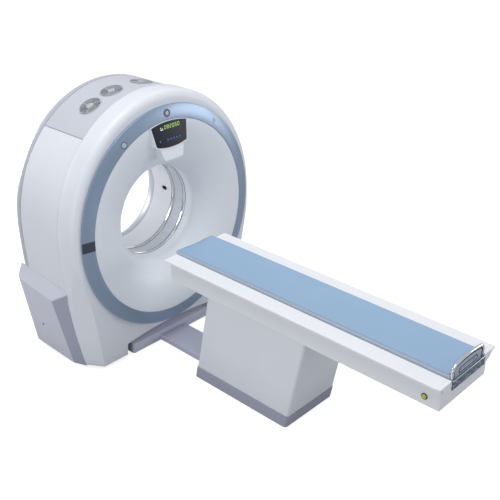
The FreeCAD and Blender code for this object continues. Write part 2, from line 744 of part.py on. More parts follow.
# ---------------------------------------------------------------- side boxes
def side_box():
    """Box that widens upwards on the gantry's side; its front runs on from the corner facet."""
    inner = HALF_WIDTH - BOX_DEEP
    body = box(inner, 2 * HALF_WIDTH, BOX_INNER_Y, REAR_FACE + BOX_INNER_Y, BOX_FLOOR, 2 * BOX_TOP)
    joint_low = HALF_WIDTH - side_drop(BOX_FLOOR, 0)
    joint_high = HALF_WIDTH - side_drop(BOX_EDGE, 0)
    front_low = Vector(HALF_WIDTH + BOX_FRONT_LOW[0], BOX_FRONT_LOW[1], BOX_FLOOR)
    back_low = Vector(HALF_WIDTH + BOX_BACK_LOW[0], BOX_BACK_LOW[1], BOX_FLOOR)
    front_high = Vector(HALF_WIDTH + BOX_FRONT_HIGH[0], BOX_FRONT_HIGH[1], BOX_EDGE)
    back_high = Vector(HALF_WIDTH + BOX_FRONT_HIGH[0], BOX_BACK_HIGH_Y, BOX_EDGE)
    faces = [(Vector(joint_low, SEAM_FRONT, BOX_FLOOR), front_low,
              Vector(joint_high, SEAM_FRONT, BOX_EDGE)),
             (front_low, back_low, front_high),
             (back_low, back_low - Vector(inner, 0, 0), back_high),
             (Vector(HALF_WIDTH, SEAM_FRONT, BOX_TOP), Vector(HALF_WIDTH, REAR_FACE, BOX_TOP_REAR),
              front_high)]
    for face in faces:
        body = body.cut(slab_beyond(face, 4 * HALF_WIDTH))
    body = one_solid(body)
    edges = []
    for edge in body.Edges:
        bounds = edge.BoundBox
        at_gantry = bounds.XMin < inner + 1 or bounds.YMin < BOX_INNER_Y + 1
        at_floor = bounds.ZMax < BOX_FLOOR + 1
        roof_front = bounds.YMin < BOX_INNER_Y + 1 and bounds.XMax > HALF_WIDTH and not at_floor
        if roof_front and bounds.ZMin > BOX_FLOOR + 1 or not (at_gantry or at_floor):
            edges.append(edge)
    return body.makeFillet(BOX_ROUND, edges)


gantry_side = outline_block(-BOX_INNER_Y, 2 * REAR_FACE, -FIT, SIDE_RECESS, TOP_RECESS,
                            bottom=-COVER_BOTTOM)
gantry_side = gantry_side.fuse(outline_block(-BOX_INNER_Y, SEAM_FRONT + FIT, -FIT,
                                             bottom=-COVER_BOTTOM))
right_box = one_solid(side_box().cut(gantry_side))
parts["side_box_right"] = right_box
parts["side_box_left"] = mirrored(right_box)


# ---------------------------------------------------------------- console
def console_outline(shrink, y):
    """Panel face: its top follows the ring's inner edge, its lower edge hangs in a shallow arc."""
    half_top = CONSOLE_TOP - shrink
    half_low = CONSOLE_LOW - shrink
    rise = RING_IN_Z - FIT - shrink
    side_z = BORE_Z + rise * math.sqrt(1 - (half_top / (RING_IN_X - FIT - shrink)) ** 2)
    low_z = BORE_Z + CONSOLE_FOOT + shrink
    corner = max(CONSOLE_CORNER - shrink, 4)
    lean = (half_top - half_low) / (side_z - low_z)
    side_end = Vector(half_low + lean * corner, y, low_z + corner)
    low_end = Vector(half_low - corner, y, low_z - corner * CONSOLE_SAG / half_low)
    turn = Vector(half_low + lean * corner * 0.3 - corner * 0.29, y,
                  low_z + corner * 0.29 - corner * CONSOLE_SAG / half_low / 2)
    top_right = Vector(half_top, y, side_z)
    right = [top_right, side_end, turn, low_end]
    left = [Vector(-p.x, p.y, p.z) for p in right]
    edges = [Part.Arc(left[0], Vector(0, y, BORE_Z + rise), right[0]).toShape(),
             Part.LineSegment(right[0], right[1]).toShape(),
             Part.Arc(right[1], right[2], right[3]).toShape(),
             Part.Arc(right[3], Vector(0, y, low_z - CONSOLE_SAG), left[3]).toShape(),
             Part.Arc(left[3], left[2], left[1]).toShape(),
             Part.LineSegment(left[1], left[0]).toShape()]
    return Part.Face(Part.Wire(edges))


def open_air():
    """Space in front of the funnel, kept a little off its surface."""
    wires = []
    for wire in funnel_sections(0):
        moved = wire.copy()
        moved.translate(Vector(0, -RUN, 0))
        wires.append(moved)
    bell = Part.makeLoft(wires, True, False)
    front = -RING_TILT - RUN
    return bell.fuse(ellipse_plug(RING_IN_X, RING_IN_Z, -FUNNEL_DEPTH, front))


def key_places():
    places = [(KEY_FIRST + KEY_PITCH * i, BORE_Z + KEY_UP) for i in range(KEY_COUNT)]
    return [(KEY_APART, BORE_Z + KEY_UP)] + places


def leaned(shape):
    """Tilt a console piece so that its face carries on the ring's slope."""
    moved = shape.copy()
    moved.rotate(Vector(0, -RING_TILT, BORE_Z + RING_IN_Z), Vector(1, 0, 0), -ring_lean)
    return moved


def console():
    face = -RING_TILT - CONSOLE_PROUD
    panel = console_outline(0, face).extrude(Vector(0, CONSOLE_DEEP, 0))
    chin_top = BORE_Z + CONSOLE_FOOT + CONSOLE_CORNER
    chin = prism_y([(-CHIN_FOOT, BORE_Z + CHIN_LOW), (CHIN_FOOT, BORE_Z + CHIN_LOW),
                    (CHIN_TOP, chin_top), (-CHIN_TOP, chin_top)],
                   face + CHIN_SET, face + CONSOLE_DEEP)
    body = one_solid(leaned(panel.fuse(chin)).common(open_air()))
    recess = console_outline(DISPLAY_RIM, face - 1).extrude(Vector(0, DISPLAY_THICK + 1, 0))
    body = body.cut(leaned(recess))
    glass = console_outline(DISPLAY_RIM + KEY_GAP, face).extrude(Vector(0, DISPLAY_THICK, 0))
    keys = []
    for x, z in key_places():
        key_back = face - KEY_PROUD + KEY_LONG
        pocket = cylinder_y(KEY_R + KEY_GAP, face - 5, key_back + 1.5 * KEY_TRAVEL, x, z)
        glass = glass.cut(pocket)
        body = body.cut(leaned(pocket))
        keys.append(leaned(cylinder_y(KEY_R, face - KEY_PROUD, key_back, x, z)))
    return one_solid(body), one_solid(leaned(glass)), keys


housing, glass, keys = console()
parts["console_housing"] = housing
parts["console_display"] = glass
for number, key in enumerate(keys, 1):
    parts["console_key_%d" % number] = key


# ---------------------------------------------------------------- stationary frame and bearing
def base_frame():
    """Two side beams on anchor pads, joined by front and rear cross beams."""
    beams = None
    inner = BASE_HALF - BASE_BEAM
    for sign in (1, -1):
        x0, x1 = sorted((sign * inner, sign * (BASE_HALF - PAD_OUTSIDE)))
        beam = box(x0, x1, GANTRY_ANCHOR_Y[0] + PAD_HALF_LONG - 1,
                   GANTRY_ANCHOR_Y[1] - PAD_HALF_LONG + 1, 0, BASE_HIGH)
        pad_x0, pad_x1 = sorted((sign * (inner - PAD_INSIDE), sign * BASE_HALF))
        for y in GANTRY_ANCHOR_Y:
            pad = box(pad_x0, pad_x1, y - PAD_HALF_LONG, y + PAD_HALF_LONG, 0, PAD_THICK)
            hole = z_cylinder(ANCHOR_HOLE_R, -1, PAD_THICK + 1, sign * GANTRY_ANCHOR_X, y)
            beam = beam.fuse(pad).cut(hole)
        beams = beam if beams is None else beams.fuse(beam)
    for y in (STAND_FRONT - CROSS_BEAM, STAND_FRONT + STAND_THICK):
        beams = beams.fuse(box(-inner - 1, inner + 1, y, y + CROSS_BEAM, CROSS_LIFT, BASE_HIGH))
    bracket_low = COVER_BOTTOM + BRACKET_UP
    bracket_top = bracket_low + BRACKET_THICK
    for sign in (1, -1):
        foot = HALF_WIDTH - SIDE_RECESS - WALL - side_drop(bracket_low, WALL) - FIT
        x0, x1 = sorted((sign * (BASE_HALF - PAD_OUTSIDE - 1), sign * foot))
        beams = beams.fuse(box(x0, x1, SCAN_Y, SCAN_Y + BRACKET_LONG, bracket_low, bracket_top))
    return one_solid(beams)


parts["base_frame"] = base_frame()

motor_x = MOTOR_AWAY * math.cos(math.radians(MOTOR_ANGLE))
motor_z = BORE_Z + MOTOR_AWAY * math.sin(math.radians(MOTOR_ANGLE))


def stand():
    """Ring plate behind the rotor's disc, on two legs that stand on the base frame."""
    back = STAND_FRONT + STAND_THICK
    plate = cylinder_y(STAND_OUT, STAND_FRONT, back)
    for sign in (1, -1):
        leg = [(sign * STAND_LEG_IN, BASE_HIGH), (sign * STAND_LEG_OUT, BASE_HIGH),
               (sign * STAND_LEG_OUT, BORE_Z), (sign * STAND_LEG_IN, BORE_Z)]
        plate = plate.fuse(prism_y(leg, STAND_FRONT, back))
    plate = plate.cut(cylinder_y(ROLLER_PITCH_R + ROLLER_R + 2, STAND_FRONT - 1, back + 1))
    boss = cylinder_y(MOTOR_R + 15, STAND_FRONT, back, motor_x, motor_z)
    shaft_hole = cylinder_y(MOTOR_SHAFT_R + 3, STAND_FRONT - 1, back + 1, motor_x, motor_z)
    return one_solid(plate.fuse(boss).cut(shaft_hole))


parts["stand"] = stand()
race_in = ROLLER_PITCH_R - ROLLER_R - 0.2
race_out = ROLLER_PITCH_R + ROLLER_R + RUN
parts["bearing_outer_ring"] = tube_y(RACE_OUT_R, race_out, BEARING_FRONT + 4, STAND_FRONT)
disc_back = DISC_FRONT + DISC_THICK
parts["bearing_inner_ring"] = tube_y(race_in, RACE_IN_R, disc_back, STAND_FRONT - 4)
rollers = []
for i in range(ROLLER_COUNT):
    angle = 2 * math.pi * i / ROLLER_COUNT
    rollers.append(cylinder_y(ROLLER_R, BEARING_FRONT + 8, BEARING_FRONT + 8 + ROLLER_LONG,
                              ROLLER_PITCH_R * math.cos(angle),
                              BORE_Z + ROLLER_PITCH_R * math.sin(angle)))
parts["bearing_rollers"] = group(rollers)


# ---------------------------------------------------------------- rotor
def rotor_drum():
    """Disc that carries the x-ray parts, with its rear hub and the belt's rim."""
    disc = tube_y(DISC_R, ROTOR_BORE, DISC_FRONT, disc_back)
    hub = tube_y(ROTOR_BORE + HUB_WALL, ROTOR_BORE, disc_back, HUB_END)
    rim = tube_y(RIM_R, RIM_R - RIM_WALL, disc_back, disc_back + RIM_LONG)
    return disc.fuse(hub).fuse(rim)


parts["rotor_drum"] = one_solid(rotor_drum())
parts["slip_ring"] = tube_y(SLIP_R, ROTOR_BORE + HUB_WALL, SLIP_FRONT, SLIP_FRONT + SLIP_LONG)
for y in (0.25, 0.5, 0.75):
    groove_y = SLIP_FRONT + SLIP_LONG * y
    parts["slip_ring"] = parts["slip_ring"].cut(tube_y(SLIP_R + 1, SLIP_R - 4,
                                                       groove_y - 2, groove_y + 2))
tube_z = BORE_Z + TUBE_UP
tube = cylinder_y(TUBE_R, PARTS_FRONT, DISC_FRONT, 0, tube_z)
tube = tube.cut(cylinder_y(TUBE_R + 1, PARTS_FRONT + 60, PARTS_FRONT + 70, 0, tube_z).cut(
    cylinder_y(TUBE_R - 6, PARTS_FRONT + 59, PARTS_FRONT + 71, 0, tube_z)))
parts["xray_tube"] = tube
collimator_top = tube_z - TUBE_R
collimator = box(-COLLIMATOR_HALF, COLLIMATOR_HALF, SCAN_Y - 60, DISC_FRONT,
                 collimator_top - COLLIMATOR_HIGH, collimator_top + TUBE_R / 2)
collimator = collimator.cut(cylinder_y(TUBE_R + RUN, PARTS_FRONT - 1, DISC_FRONT + 1, 0, tube_z))
beam_slot = box(-COLLIMATOR_HALF + 15, COLLIMATOR_HALF - 15, SCAN_Y - 15, SCAN_Y + 15,
                collimator_top - COLLIMATOR_HIGH - 1, collimator_top - 20)
parts["collimator"] = one_solid(collimator.cut(beam_slot))


def detector_arc():
    """Curved detector housing, centred on the tube's focus."""
    half = math.radians(FAN_BEAM_HALF)

    def on_arc(radius, angle):
        return Vector(radius * math.sin(angle), SCAN_Y - DETECTOR_HALF,
                      tube_z - radius * math.cos(angle))

    outer = DETECTOR_R + DETECTOR_THICK
    edges = [Part.Arc(on_arc(DETECTOR_R, -half), on_arc(DETECTOR_R, 0),
                      on_arc(DETECTOR_R, half)).toShape(),
             Part.LineSegment(on_arc(DETECTOR_R, half), on_arc(outer, half)).toShape(),
             Part.Arc(on_arc(outer, half), on_arc(outer, 0), on_arc(outer, -half)).toShape(),
             Part.LineSegment(on_arc(outer, -half), on_arc(DETECTOR_R, -half)).toShape()]
    depth = DISC_FRONT - (SCAN_Y - DETECTOR_HALF)
    return Part.Face(Part.Wire(edges)).extrude(Vector(0, depth, 0))


parts["detector_arc"] = detector_arc()
parts["generator_box"] = box(SIDE_PACK_IN, SIDE_PACK_OUT, PARTS_FRONT, DISC_FRONT,
                             BORE_Z - SIDE_PACK_HIGH / 2, BORE_Z + SIDE_PACK_HIGH / 2)
exchanger = box(-SIDE_PACK_OUT, -SIDE_PACK_IN, PARTS_FRONT, DISC_FRONT,
                BORE_Z - SIDE_PACK_HIGH / 2, BORE_Z + SIDE_PACK_HIGH / 2)
fin_count = 12
fin_pitch = SIDE_PACK_HIGH / fin_count
for i in range(fin_count):
    z = BORE_Z - SIDE_PACK_HIGH / 2 + fin_pitch * (i + 0.3)
    exchanger = exchanger.cut(box(-SIDE_PACK_OUT - 1, -SIDE_PACK_OUT + 30, PARTS_FRONT - 1,
                                  DISC_FRONT - 20, z, z + fin_pitch * 0.5))
parts["heat_exchanger"] = exchanger

# brushes reach from the stand to the slip ring
brush_low = SLIP_R + RUN
brush = box(-30, 30, STAND_FRONT + STAND_THICK, SLIP_FRONT + SLIP_LONG,
            BORE_Z + brush_low + 20, BORE_Z + brush_low + 80)
for y in (0.125, 0.375, 0.625, 0.875):
    centre = SLIP_FRONT + SLIP_LONG * y
    brush = brush.fuse(box(-12, 12, centre - 2.5, centre + 2.5,
                           BORE_Z + brush_low, BORE_Z + brush_low + 25))
parts["brush_block"] = one_solid(brush)

# ---------------------------------------------------------------- rotor drive
pulley_front = disc_back + 3
motor_face = STAND_FRONT + STAND_THICK
motor = cylinder_y(MOTOR_R, motor_face, motor_face + MOTOR_LONG, motor_x, motor_z)
motor = motor.fuse(cylinder_y(MOTOR_SHAFT_R - 2, STAND_FRONT - 4, motor_face, motor_x, motor_z))
motor = motor.fuse(cylinder_y(MOTOR_SHAFT_R / 2, pulley_front + 4, motor_face, motor_x, motor_z))
parts["drive_motor"] = motor
pulley = cylinder_y(PULLEY_R, pulley_front, pulley_front + PULLEY_LONG, motor_x, motor_z)
pulley = pulley.cut(cylinder_y(MOTOR_SHAFT_R / 2 + 0.05, pulley_front + 3.5, STAND_FRONT,
                               motor_x, motor_z))
parts["drive_pulley"] = pulley


def hull_face(r1, r2, y):
    """Outline of an open belt round the rim and the pulley."""
    c1 = Vector(0, y, BORE_Z)
    c2 = Vector(motor_x, y, motor_z)
    along = (c2 - c1).normalize()
    lean = math.acos((r1 - r2) / MOTOR_AWAY)
    base = math.atan2(along.z, along.x)

    def on_circle(centre, radius, angle):
        return centre + Vector(radius * math.cos(angle), 0, radius * math.sin(angle))

    a1 = on_circle(c1, r1, base + lean)
    a2 = on_circle(c2, r2, base + lean)
    b1 = on_circle(c1, r1, base - lean)
    b2 = on_circle(c2, r2, base - lean)
    edges = [Part.Arc(a1, on_circle(c1, r1, base + math.pi), b1).toShape(),
             Part.LineSegment(b1, b2).toShape(),
             Part.Arc(b2, on_circle(c2, r2, base), a2).toShape(),
             Part.LineSegment(a2, a1).toShape()]
    return Part.Face(Part.Wire(edges))


belt_front = pulley_front + (PULLEY_LONG - BELT_WIDE) / 2
belt = hull_face(RIM_R + RUN + BELT_THICK, PULLEY_R + RUN + BELT_THICK, belt_front)
belt = belt.cut(hull_face(RIM_R + RUN, PULLEY_R + RUN, belt_front))
parts["drive_belt"] = one_solid(belt.extrude(Vector(0, BELT_WIDE, 0)))


# ---------------------------------------------------------------- floor pieces
def cross_foot():
    """Foot across the gantry's front, its top falling towards the table."""
    back = STAND_FRONT - CROSS_BEAM - FIT
    profile = [(FOOT_FRONT, 0), (FOOT_FRONT, FOOT_EDGE), (FOOT_FRONT + FOOT_SLOPE, FOOT_TOP),
               (back, FOOT_TOP), (back, 0)]
    foot = prism_x(profile, FOOT_LEFT, FOOT_RIGHT)
    corners = [edge for edge in foot.Edges
               if edge.BoundBox.YLength < 1e-3 and edge.BoundBox.XLength < 1e-3
               and abs(edge.BoundBox.YMin - FOOT_FRONT) < 1e-3]
    return foot.makeFillet(FOOT_CHAMFER, corners)


parts["cross_foot"] = cross_foot()
duct_end = PED_FRONT + SKIRT_PROUD + FIT
duct = prism_y([(DUCT_LEFT, 0), (DUCT_RIGHT, 0), (DUCT_RIGHT, DUCT_HIGH - DUCT_CHAMFER),
                (DUCT_RIGHT - DUCT_CHAMFER, DUCT_HIGH), (DUCT_LEFT + DUCT_CHAMFER, DUCT_HIGH),
                (DUCT_LEFT, DUCT_HIGH - DUCT_CHAMFER)], duct_end, FOOT_FRONT - FIT)
parts["floor_duct"] = duct


# ---------------------------------------------------------------- table pedestal
def leaning_box(half, front, back, z0, z1, radius=0.0):
    """Box whose ends lean with the pedestal; front and back are given at the floor."""
    low = Part.makePolygon([Vector(half, front + LEAN * z0, z0), Vector(-half, front + LEAN * z0, z0),
                            Vector(-half, back + LEAN * z0, z0), Vector(half, back + LEAN * z0, z0),
                            Vector(half, front + LEAN * z0, z0)])
    body = Part.Face(low).extrude(Vector(0, LEAN * (z1 - z0), z1 - z0))
    if radius > 0:
        upright = [edge for edge in body.Edges if edge.BoundBox.ZLength > (z1 - z0) / 2]
        body = body.makeFillet(radius, upright)
    return body


def leaning_tube(half, front, back, wall, z0, z1, radius=0.0):
    outer = leaning_box(half, front, back, z0, z1, radius)
    inner = leaning_box(half - wall, front - wall, back + wall, z0 - 5, z1 + 5,
                        max(radius - wall, 0))
    return outer.cut(inner)


cover_low = SKIRT_HIGH + SKIRT_GAP
parts["pedestal_cover"] = leaning_tube(PED_HALF, PED_FRONT, PED_BACK, PED_WALL,
                                       cover_low, TRAY_BOTTOM - RUN, PED_ROUND)
sleeve_inset = PED_WALL + SLEEVE_GAP
skirt = leaning_tube(PED_HALF + SKIRT_PROUD, PED_FRONT + SKIRT_PROUD, PED_BACK - SKIRT_PROUD,
                     SKIRT_PROUD + sleeve_inset + PED_WALL, 0, SKIRT_HIGH,
                     PED_ROUND + SKIRT_PROUD)
sleeve = leaning_tube(PED_HALF - sleeve_inset, PED_FRONT - sleeve_inset, PED_BACK + sleeve_inset,
                      PED_WALL, SKIRT_HIGH - 5, SLEEVE_TOP, PED_ROUND / 2)
parts["pedestal_skirt"] = one_solid(skirt.fuse(sleeve))
plate_inset = sleeve_inset + PED_WALL + FIT
plate = leaning_box(PED_HALF - plate_inset, PED_FRONT - plate_inset, PED_BACK + plate_inset,
                    0, PLATE_THICK)
for x in (-TABLE_ANCHOR_X, TABLE_ANCHOR_X):
    for y in TABLE_ANCHOR_Y:
        plate = plate.cut(z_cylinder(ANCHOR_HOLE_R, -5, PLATE_THICK + 5, x, y))
parts["pedestal_base"] = plate

column = leaning_tube(COLUMN_HALF, COLUMN_FRONT, COLUMN_BACK, COLUMN_WALL, PLATE_THICK, COLUMN_TOP)
screw_y = (COLUMN_FRONT + COLUMN_BACK) / 2
lean_axis = Vector(0, LEAN, 1).normalize()


def on_screw_axis(z):
    return Vector(0, screw_y + LEAN * z, z)


def along_screw(radius, z0, z1):
    start = on_screw_axis(z0)
    return Part.makeCylinder(radius, (on_screw_axis(z1) - start).Length, start, lean_axis)


bridge = leaning_box(COLUMN_HALF - 1, COLUMN_FRONT - 1, COLUMN_BACK + 1, PLATE_THICK,
                     SCREW_LOW + 20)
socket = along_screw(SCREW_R + 0.05, SCREW_LOW, SCREW_LOW + 60)
parts["lift_column"] = one_solid(column.fuse(bridge).cut(socket))
parts["lift_screw"] = along_screw(SCREW_R, SCREW_LOW + 0.2, SCREW_TOP)


# ---------------------------------------------------------------- table chassis
def chassis():
    """Frame under the tray, the column's inner tube and the screw's nut at its lower end."""
    deck_low = TROUGH_FLOOR - TRAY_DECK
    frame_half = TRAY_SIDE - TRAY_WALL - FIT
    frame = box(-frame_half, frame_half, CHASSIS_BACK, CHASSIS_FRONT, CHASSIS_LOW, deck_low)
    opening = box(-frame_half + CHASSIS_WALL, frame_half - CHASSIS_WALL,
                  CHASSIS_BACK + CHASSIS_WALL, CHASSIS_FRONT - CHASSIS_WALL,
                  CHASSIS_LOW + CHASSIS_WALL, deck_low + 1)
    frame = frame.cut(opening)
    inset = COLUMN_WALL + COLUMN_GAP
    tube = leaning_tube(COLUMN_HALF - inset, COLUMN_FRONT - inset, COLUMN_BACK + inset,
                        COLUMN_WALL, INNER_LOW, CHASSIS_LOW + CHASSIS_WALL)
    nut = leaning_box(COLUMN_HALF - inset - 1, COLUMN_FRONT - inset - 1, COLUMN_BACK + inset + 1,
                      INNER_LOW, INNER_LOW + NUT_HIGH)
    hole = leaning_box(COLUMN_HALF - inset - COLUMN_WALL, COLUMN_FRONT - inset - COLUMN_WALL,
                       COLUMN_BACK + inset + COLUMN_WALL, CHASSIS_LOW - 5,
                       CHASSIS_LOW + CHASSIS_WALL + 5)
    body = frame.cut(hole).fuse(tube).fuse(nut)
    return one_solid(body.cut(along_screw(SCREW_R + 0.05, PLATE_THICK, TRAY_TOP)))


parts["table_chassis"] = chassis()


# ---------------------------------------------------------------- tray
def tray_block(y0, y1):
    """The tray's outer form: square lips that run in a hollow curve into upright sides."""
    lip_low = TRAY_TOP - TRAY_LIP_EDGE
    half_x = TRAY_LIP - TRAY_SIDE
    half_z = lip_low - TRAY_SIDE_TOP
    lean = math.sqrt(0.5)
    edges = []
    for sign in (1, -1):
        under_lip = Vector(sign * TRAY_LIP, y0, lip_low)
        hollow = Vector(sign * (TRAY_LIP - half_x * lean), y0, TRAY_SIDE_TOP + half_z * lean)
        side_top = Vector(sign * TRAY_SIDE, y0, TRAY_SIDE_TOP)
        side_low = Vector(sign * TRAY_SIDE, y0, TRAY_BOTTOM)
        edges.append(Part.LineSegment(Vector(sign * TRAY_LIP, y0, TRAY_TOP), under_lip).toShape())
        edges.append(Part.Arc(under_lip, hollow, side_top).toShape())
        edges.append(Part.LineSegment(side_top, side_low).toShape())
    edges.append(Part.LineSegment(Vector(-TRAY_LIP, y0, TRAY_TOP),
                                  Vector(TRAY_LIP, y0, TRAY_TOP)).toShape())
    edges.append(Part.LineSegment(Vector(-TRAY_SIDE, y0, TRAY_BOTTOM),
                                  Vector(TRAY_SIDE, y0, TRAY_BOTTOM)).toShape())
    wire = Part.Wire(Part.__sortEdges__(edges))
    return Part.Face(wire).extrude(Vector(0, y1 - y0, 0))


cradle_bottom = TROUGH_FLOOR + GLIDE_HIGH
block_top = cradle_bottom + BLOCK_HIGH


def tray():
    """Long tray: lipped sides, a trough for the cradle, two glide strips, open underneath."""
    body = tray_block(TRAY_FOOT, TRAY_HEAD)
    lip_edges = [edge for edge in body.Edges
                 if edge.BoundBox.YLength > TRAY_LIP and edge.BoundBox.ZMin > TRAY_TOP - 1]
    body = body.makeFillet(TRAY_LIP_ROUND, lip_edges)
    inside = TRAY_SIDE - TRAY_WALL
    body = body.cut(box(-inside, inside, TRAY_FOOT - 1, TRAY_HEAD - TRAY_WALL, TRAY_BOTTOM - 1,
                        TROUGH_FLOOR - TRAY_DECK))
    body = body.cut(box(-TROUGH_HALF, TROUGH_HALF, TRAY_FOOT - 1, TRAY_HEAD + 1,
                        TROUGH_FLOOR, TRAY_TOP + 1))
    for x in (-GLIDE_X, GLIDE_X):
        body = body.fuse(box(x - GLIDE_HALF, x + GLIDE_HALF, TRAY_FOOT, TRAY_HEAD,
                             TROUGH_FLOOR - 1, cradle_bottom - RUN))
    return body


def end_cap():
    """Moulded foot end of the tray, with a notch for the control panel."""
    cap = tray_block(CAP_END, TRAY_FOOT - FIT)
    edges = [edge for edge in cap.Edges
             if edge.BoundBox.YLength < 1e-3 and abs(edge.BoundBox.YMin - CAP_END) < 1e-3]
    cap = cap.makeFillet(CAP_ROUND, edges)
    level = NOTCH_HALF + CAP_SPREAD
    under = TRAY_BOTTOM - 1
    wide = TRAY_LIP + 1
    step = prism_y([(-wide, under), (wide, under), (wide, CAP_STEP_HIGH), (level, NOTCH_LOW),
                    (-level, NOTCH_LOW), (-wide, CAP_STEP_HIGH)], CAP_END - 1, CAP_END + CAP_STEP)
    cap = cap.cut(step)
    notch = box(-NOTCH_HALF, NOTCH_HALF, CAP_END - 20, TRAY_FOOT + 1, NOTCH_LOW, TRAY_TOP + 1)
    trough = box(-TROUGH_HALF, TROUGH_HALF, CAP_END - 1, TRAY_FOOT + 1, TROUGH_FLOOR, TRAY_TOP + 1)
    return one_solid(cap.cut(notch).cut(trough))


tray_body = tray()
button_seats = []
bezels = []
for side_name, sign in (("left", -1), ("right", 1)):
    out = Vector(sign, 0, 0)
    skin = Vector(sign * TRAY_SIDE, STOP_Y, STOP_Z)
    bezel = Part.makeCylinder(BEZEL_R, BEZEL_THICK, skin, out)
    deep = STOP_LONG + BEZEL_FLOOR
    bezel = bezel.fuse(Part.makeCylinder(STOP_R + BEZEL_WALL, deep, skin - out * deep, out))
    well = Part.makeCylinder(STOP_R + KEY_GAP, 3 * STOP_LONG, skin - out * STOP_LONG, out)
    bezel = bezel.cut(well)
    hole = Part.makeCylinder(STOP_R + BEZEL_WALL + 0.1, 4 * TRAY_WALL, skin - out * 3 * TRAY_WALL,
                             out)
    tray_body = tray_body.cut(hole)
    bezels.append(bezel)
    top = skin + out * (BEZEL_THICK + STOP_PROUD)
    cap = Part.makeCylinder(STOP_R, STOP_LONG, top - out * STOP_LONG, out)
    rim = [edge for edge in cap.Edges if abs(edge.BoundBox.Center.x - top.x) < 1e-3
           and edge.BoundBox.XLength < 1e-3]
    parts["stop_button_" + side_name] = cap.makeFillet(2.0, rim)
parts["stop_bezels"] = group(bezels)
parts["tray"] = one_solid(tray_body)
parts["end_cap"] = end_cap()
panel_half = NOTCH_HALF - PANEL_GAP
panel = box(-panel_half, panel_half, PANEL_END, TRAY_FOOT - FIT, NOTCH_LOW + PANEL_GAP, PANEL_TOP)
parts["end_panel"] = panel.fuse(box(-panel_half, panel_half, PANEL_END, PANEL_END + FASCIA_THICK,
                                    PANEL_TOP - 1, FASCIA_TOP))


# ---------------------------------------------------------------- cradle
def dished(half, low, edge_z, sag, y0, y1):
    """Bar whose top is a shallow hollow arc, flat underneath."""
    corners = [Vector(-half, y0, low), Vector(half, y0, low), Vector(half, y0, edge_z),
               Vector(-half, y0, edge_z)]
    arc = Part.Arc(corners[2], Vector(0, y0, edge_z - sag), corners[3]).toShape()
    edges = [Part.LineSegment(corners[3], corners[0]).toShape(),
             Part.LineSegment(corners[0], corners[1]).toShape(),
             Part.LineSegment(corners[1], corners[2]).toShape(), arc]
    return Part.Face(Part.Wire(edges)).extrude(Vector(0, y1 - y0, 0))


def pad_section(y, draw_in):
    """Pad's section: a hollow-arched underside, a softer top and rounded sides."""
    half = PAD_HALF - draw_in
    radius = (CRADLE_HALF ** 2 + CRADLE_SAG ** 2) / (2 * CRADLE_SAG)

    def shell_z(x):
        return CRADLE_EDGE - CRADLE_SAG + radius - math.sqrt(radius ** 2 - x ** 2) + RUN

    side = max(PAD_EDGE - draw_in * 0.5, 2.0)
    crown = max(PAD_CROWN - draw_in * 0.5, 2.5)
    low_l = Vector(-half + 2, y, shell_z(half - 2))
    low_r = Vector(half - 2, y, shell_z(half - 2))
    top_l = Vector(-half + 4, y, shell_z(half - 4) + side)
    top_r = Vector(half - 4, y, shell_z(half - 4) + side)
    mid_l = Vector(-half, y, (low_l.z + top_l.z) / 2)
    mid_r = Vector(half, y, (low_l.z + top_l.z) / 2)
    edges = [Part.Arc(low_l, Vector(0, y, shell_z(0)), low_r).toShape(),
             Part.Arc(low_r, mid_r, top_r).toShape(),
             Part.Arc(top_r, Vector(0, y, shell_z(0) + crown), top_l).toShape(),
             Part.Arc(top_l, mid_l, low_l).toShape()]
    return Part.Wire(edges)


parts["cradle"] = dished(CRADLE_HALF, cradle_bottom, CRADLE_EDGE, CRADLE_SAG,
                         CRADLE_FOOT, CRADLE_HEAD)
pad_head = CRADLE_HEAD - PAD_MARGIN
pad_foot = CRADLE_FOOT + PAD_MARGIN
pad_ends = [(pad_foot, 5.0), (pad_foot + 5, 1.0), (pad_foot + 15, 0.0),
            (pad_head - 15, 0.0), (pad_head - 5, 1.0), (pad_head, 5.0)]
parts["cradle_pad"] = Part.makeLoft([pad_section(y, d) for y, d in pad_ends], True, True)


def arch_edges(inset):
    """Two legs, two bends and a slightly arched bar, all tangent; inset draws them inwards."""
    y = HANDLE_Y
    arch = (HANDLE_HALF ** 2 + HANDLE_RISE ** 2) / (2 * HANDLE_RISE)
    arch_z = block_top + HANDLE_HIGH - arch
    bend_x = HANDLE_HALF - HANDLE_BEND
    bend_z = arch_z + math.sqrt((arch - HANDLE_BEND) ** 2 - bend_x ** 2)
    meet = math.atan2(bend_x, bend_z - arch_z)
    half_turn = (math.pi / 2 - meet) / 2
    bend = HANDLE_BEND - inset

    def on_bend(angle):
        return Vector(bend_x + bend * math.sin(angle), y, bend_z + bend * math.cos(angle))

    right = [on_bend(meet), on_bend(meet + half_turn), on_bend(math.pi / 2),
             Vector(HANDLE_HALF - inset, y, block_top - BLOCK_HIGH / 2)]
    left = [Vector(-p.x, p.y, p.z) for p in right]
    crown = Vector(0, y, block_top + HANDLE_HIGH - inset)
    return left, [Part.LineSegment(left[3], left[2]).toShape(),
                  Part.Arc(left[2], left[1], left[0]).toShape(),
                  Part.Arc(left[0], crown, right[0]).toShape(),
                  Part.Arc(right[0], right[1], right[2]).toShape(),
                  Part.LineSegment(right[2], right[3]).toShape()]


def arch_handle():
    left, edges = arch_edges(0)
    profile = Part.Wire(Part.Circle(left[3], Vector(0, 0, 1), HANDLE_R).toShape())
    return Part.Wire(edges).makePipeShell([profile], True, True)


